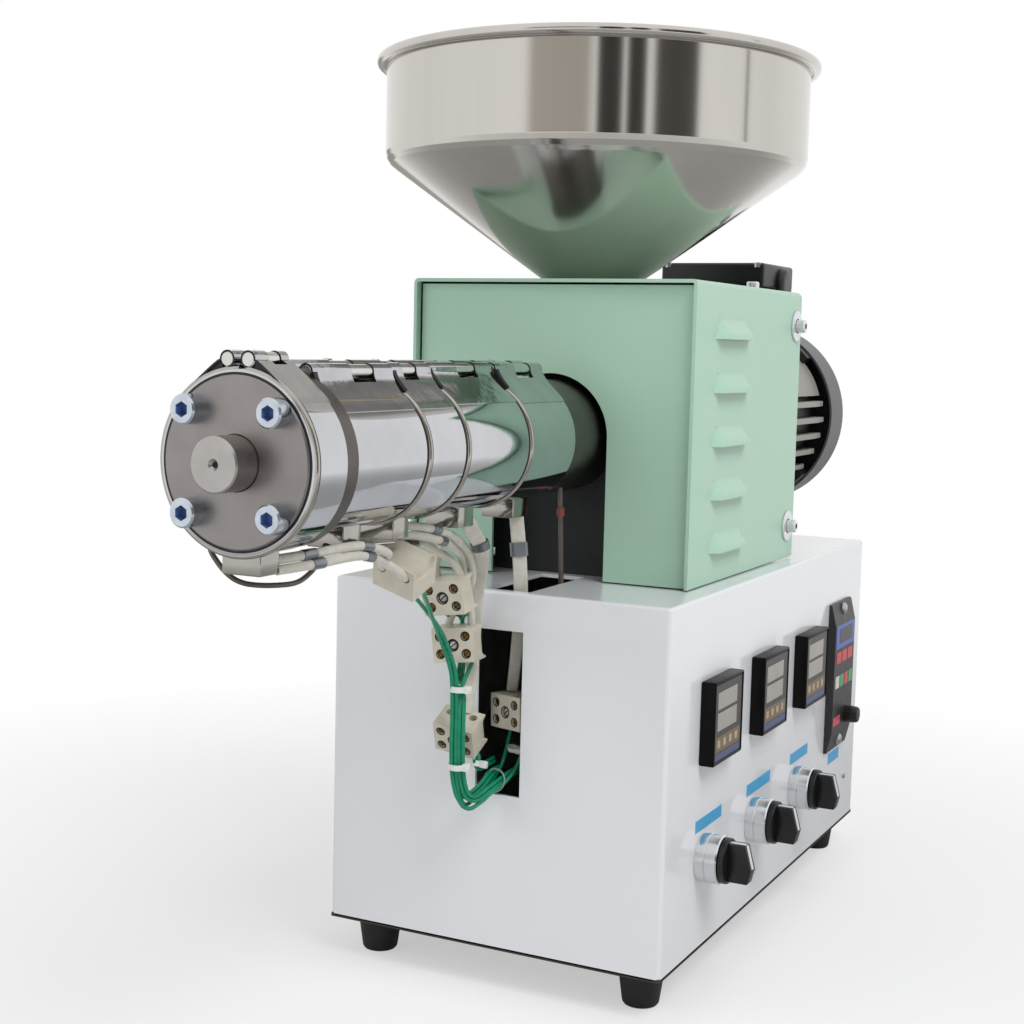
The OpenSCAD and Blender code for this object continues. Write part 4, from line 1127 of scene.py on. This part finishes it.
def softbox(name, place, aim, width, watts):
    """A square soft lamp that looks at a point."""
    lamp = bpy.data.lights.new(name, "AREA")
    lamp.size = width
    lamp.energy = watts
    made = bpy.data.objects.new(name, lamp)
    made.location = place
    made.rotation_euler = (Vector(aim) - Vector(place)).to_track_quat("-Z", "Y").to_euler()
    made.visible_glossy = False
    bpy.context.scene.collection.objects.link(made)


softbox("key_lamp", (1.2, -0.6, 1.8), (0, 0, 0.25), 1.0, 24)
softbox("fill_lamp", (-1.1, -1.5, 1.1), (0, 0, 0.25), 1.2, 9)

# Cards: soft-edged dark and grey cloths that stand round the machine, off the camera's view.
# They show only in polished metal, as a room's dark and grey things would.


def flag(name, bearing, distance, width, base, top, tone):
    """A card at a bearing and distance from the machine, its sides fading out."""
    cloth = bpy.data.materials.new(name)
    cloth.use_nodes = True
    across = add_node(cloth, "UVMap", {})
    apart = add_node(cloth, "SeparateXYZ", {"Vector": across.outputs["UV"]})
    hem = add_node(cloth, "ValToRGB", {"Fac": apart.outputs["X"]})
    for spot in (0.12, 0.88):
        hem.color_ramp.elements.new(spot).color = (1, 1, 1, 1)
    for end in (0, -1):
        hem.color_ramp.elements[end].color = (0, 0, 0, 1)
    clear = add_node(cloth, "BsdfTransparent", {})
    dim = add_node(cloth, "Emission", {"Color": (tone, tone * 0.95, tone * 0.88, 1)})
    mix = add_node(cloth, "MixShader", {"Fac": hem.outputs["Color"], 1: clear.outputs["BSDF"],
                                        2: dim.outputs["Emission"]})
    feed(cloth, cloth.node_tree.nodes["Material Output"], {"Surface": mix.outputs["Shader"]})
    bm = bmesh.new()
    bm.loops.layers.uv.new("card")
    bmesh.ops.create_grid(bm, x_segments=1, y_segments=1, size=0.5, calc_uvs=True)
    bmesh.ops.scale(bm, vec=(width, top - base, 1), verts=bm.verts)
    turn = math.radians(bearing)
    stand = at(distance * math.sin(turn), -distance * math.cos(turn), (base + top) / 2)
    bmesh.ops.transform(bm, matrix=stand @ tilt(bearing, "Z") @ STANDING, verts=bm.verts)
    card = stage_piece(name, bm, cloth)
    card.visible_camera = False
    card.visible_diffuse = False
    card.visible_shadow = False


flag("dark_flag_1", 30.5, 2.2, 0.55, 0.0, 1.6, 0.05)
flag("dark_flag_2", 44.0, 2.2, 0.42, 0.0, 1.6, 0.04)
flag("dark_flag_3", 65.0, 2.2, 1.05, 0.0, 1.6, 0.09)
flag("dark_flag_4", 107.0, 2.2, 0.08, 0.5, 1.3, 0.15)
flag("grey_flag_1", 5.0, 2.25, 1.45, 0.45, 1.6, 0.5)
flag("grey_flag_2", -140.0, 2.4, 1.8, 0.0, 0.6, 0.4)

# Standpoint: the camera where the photograph was taken from, in front on the right and a little above,
# held at a slight roll, with the focal length that fits it.
eye = Vector((0.4102, -0.8975, 0.3638))
forward = Vector((-0.4473, 0.8886, -0.1011)).normalized()
level_right = Vector((0.8932, 0.4496, 0.0)).normalized()
level_up = level_right.cross(forward).normalized()
roll = math.radians(1.398)
right = level_right * math.cos(roll) + level_up * math.sin(roll)
upward = level_up * math.cos(roll) - level_right * math.sin(roll)
lens = bpy.data.cameras.new("standpoint")
lens.lens = 57.5
lens.sensor_width = 36.0
lens.clip_start = 0.01
standpoint = bpy.data.objects.new("standpoint", lens)
standpoint.matrix_world = Matrix.Translation(eye) @ Matrix((right, upward, -forward)).transposed().to_4x4()
bpy.context.scene.collection.objects.link(standpoint)
bpy.context.scene.camera = standpoint
bpy.context.scene.view_settings.view_transform = "Standard"
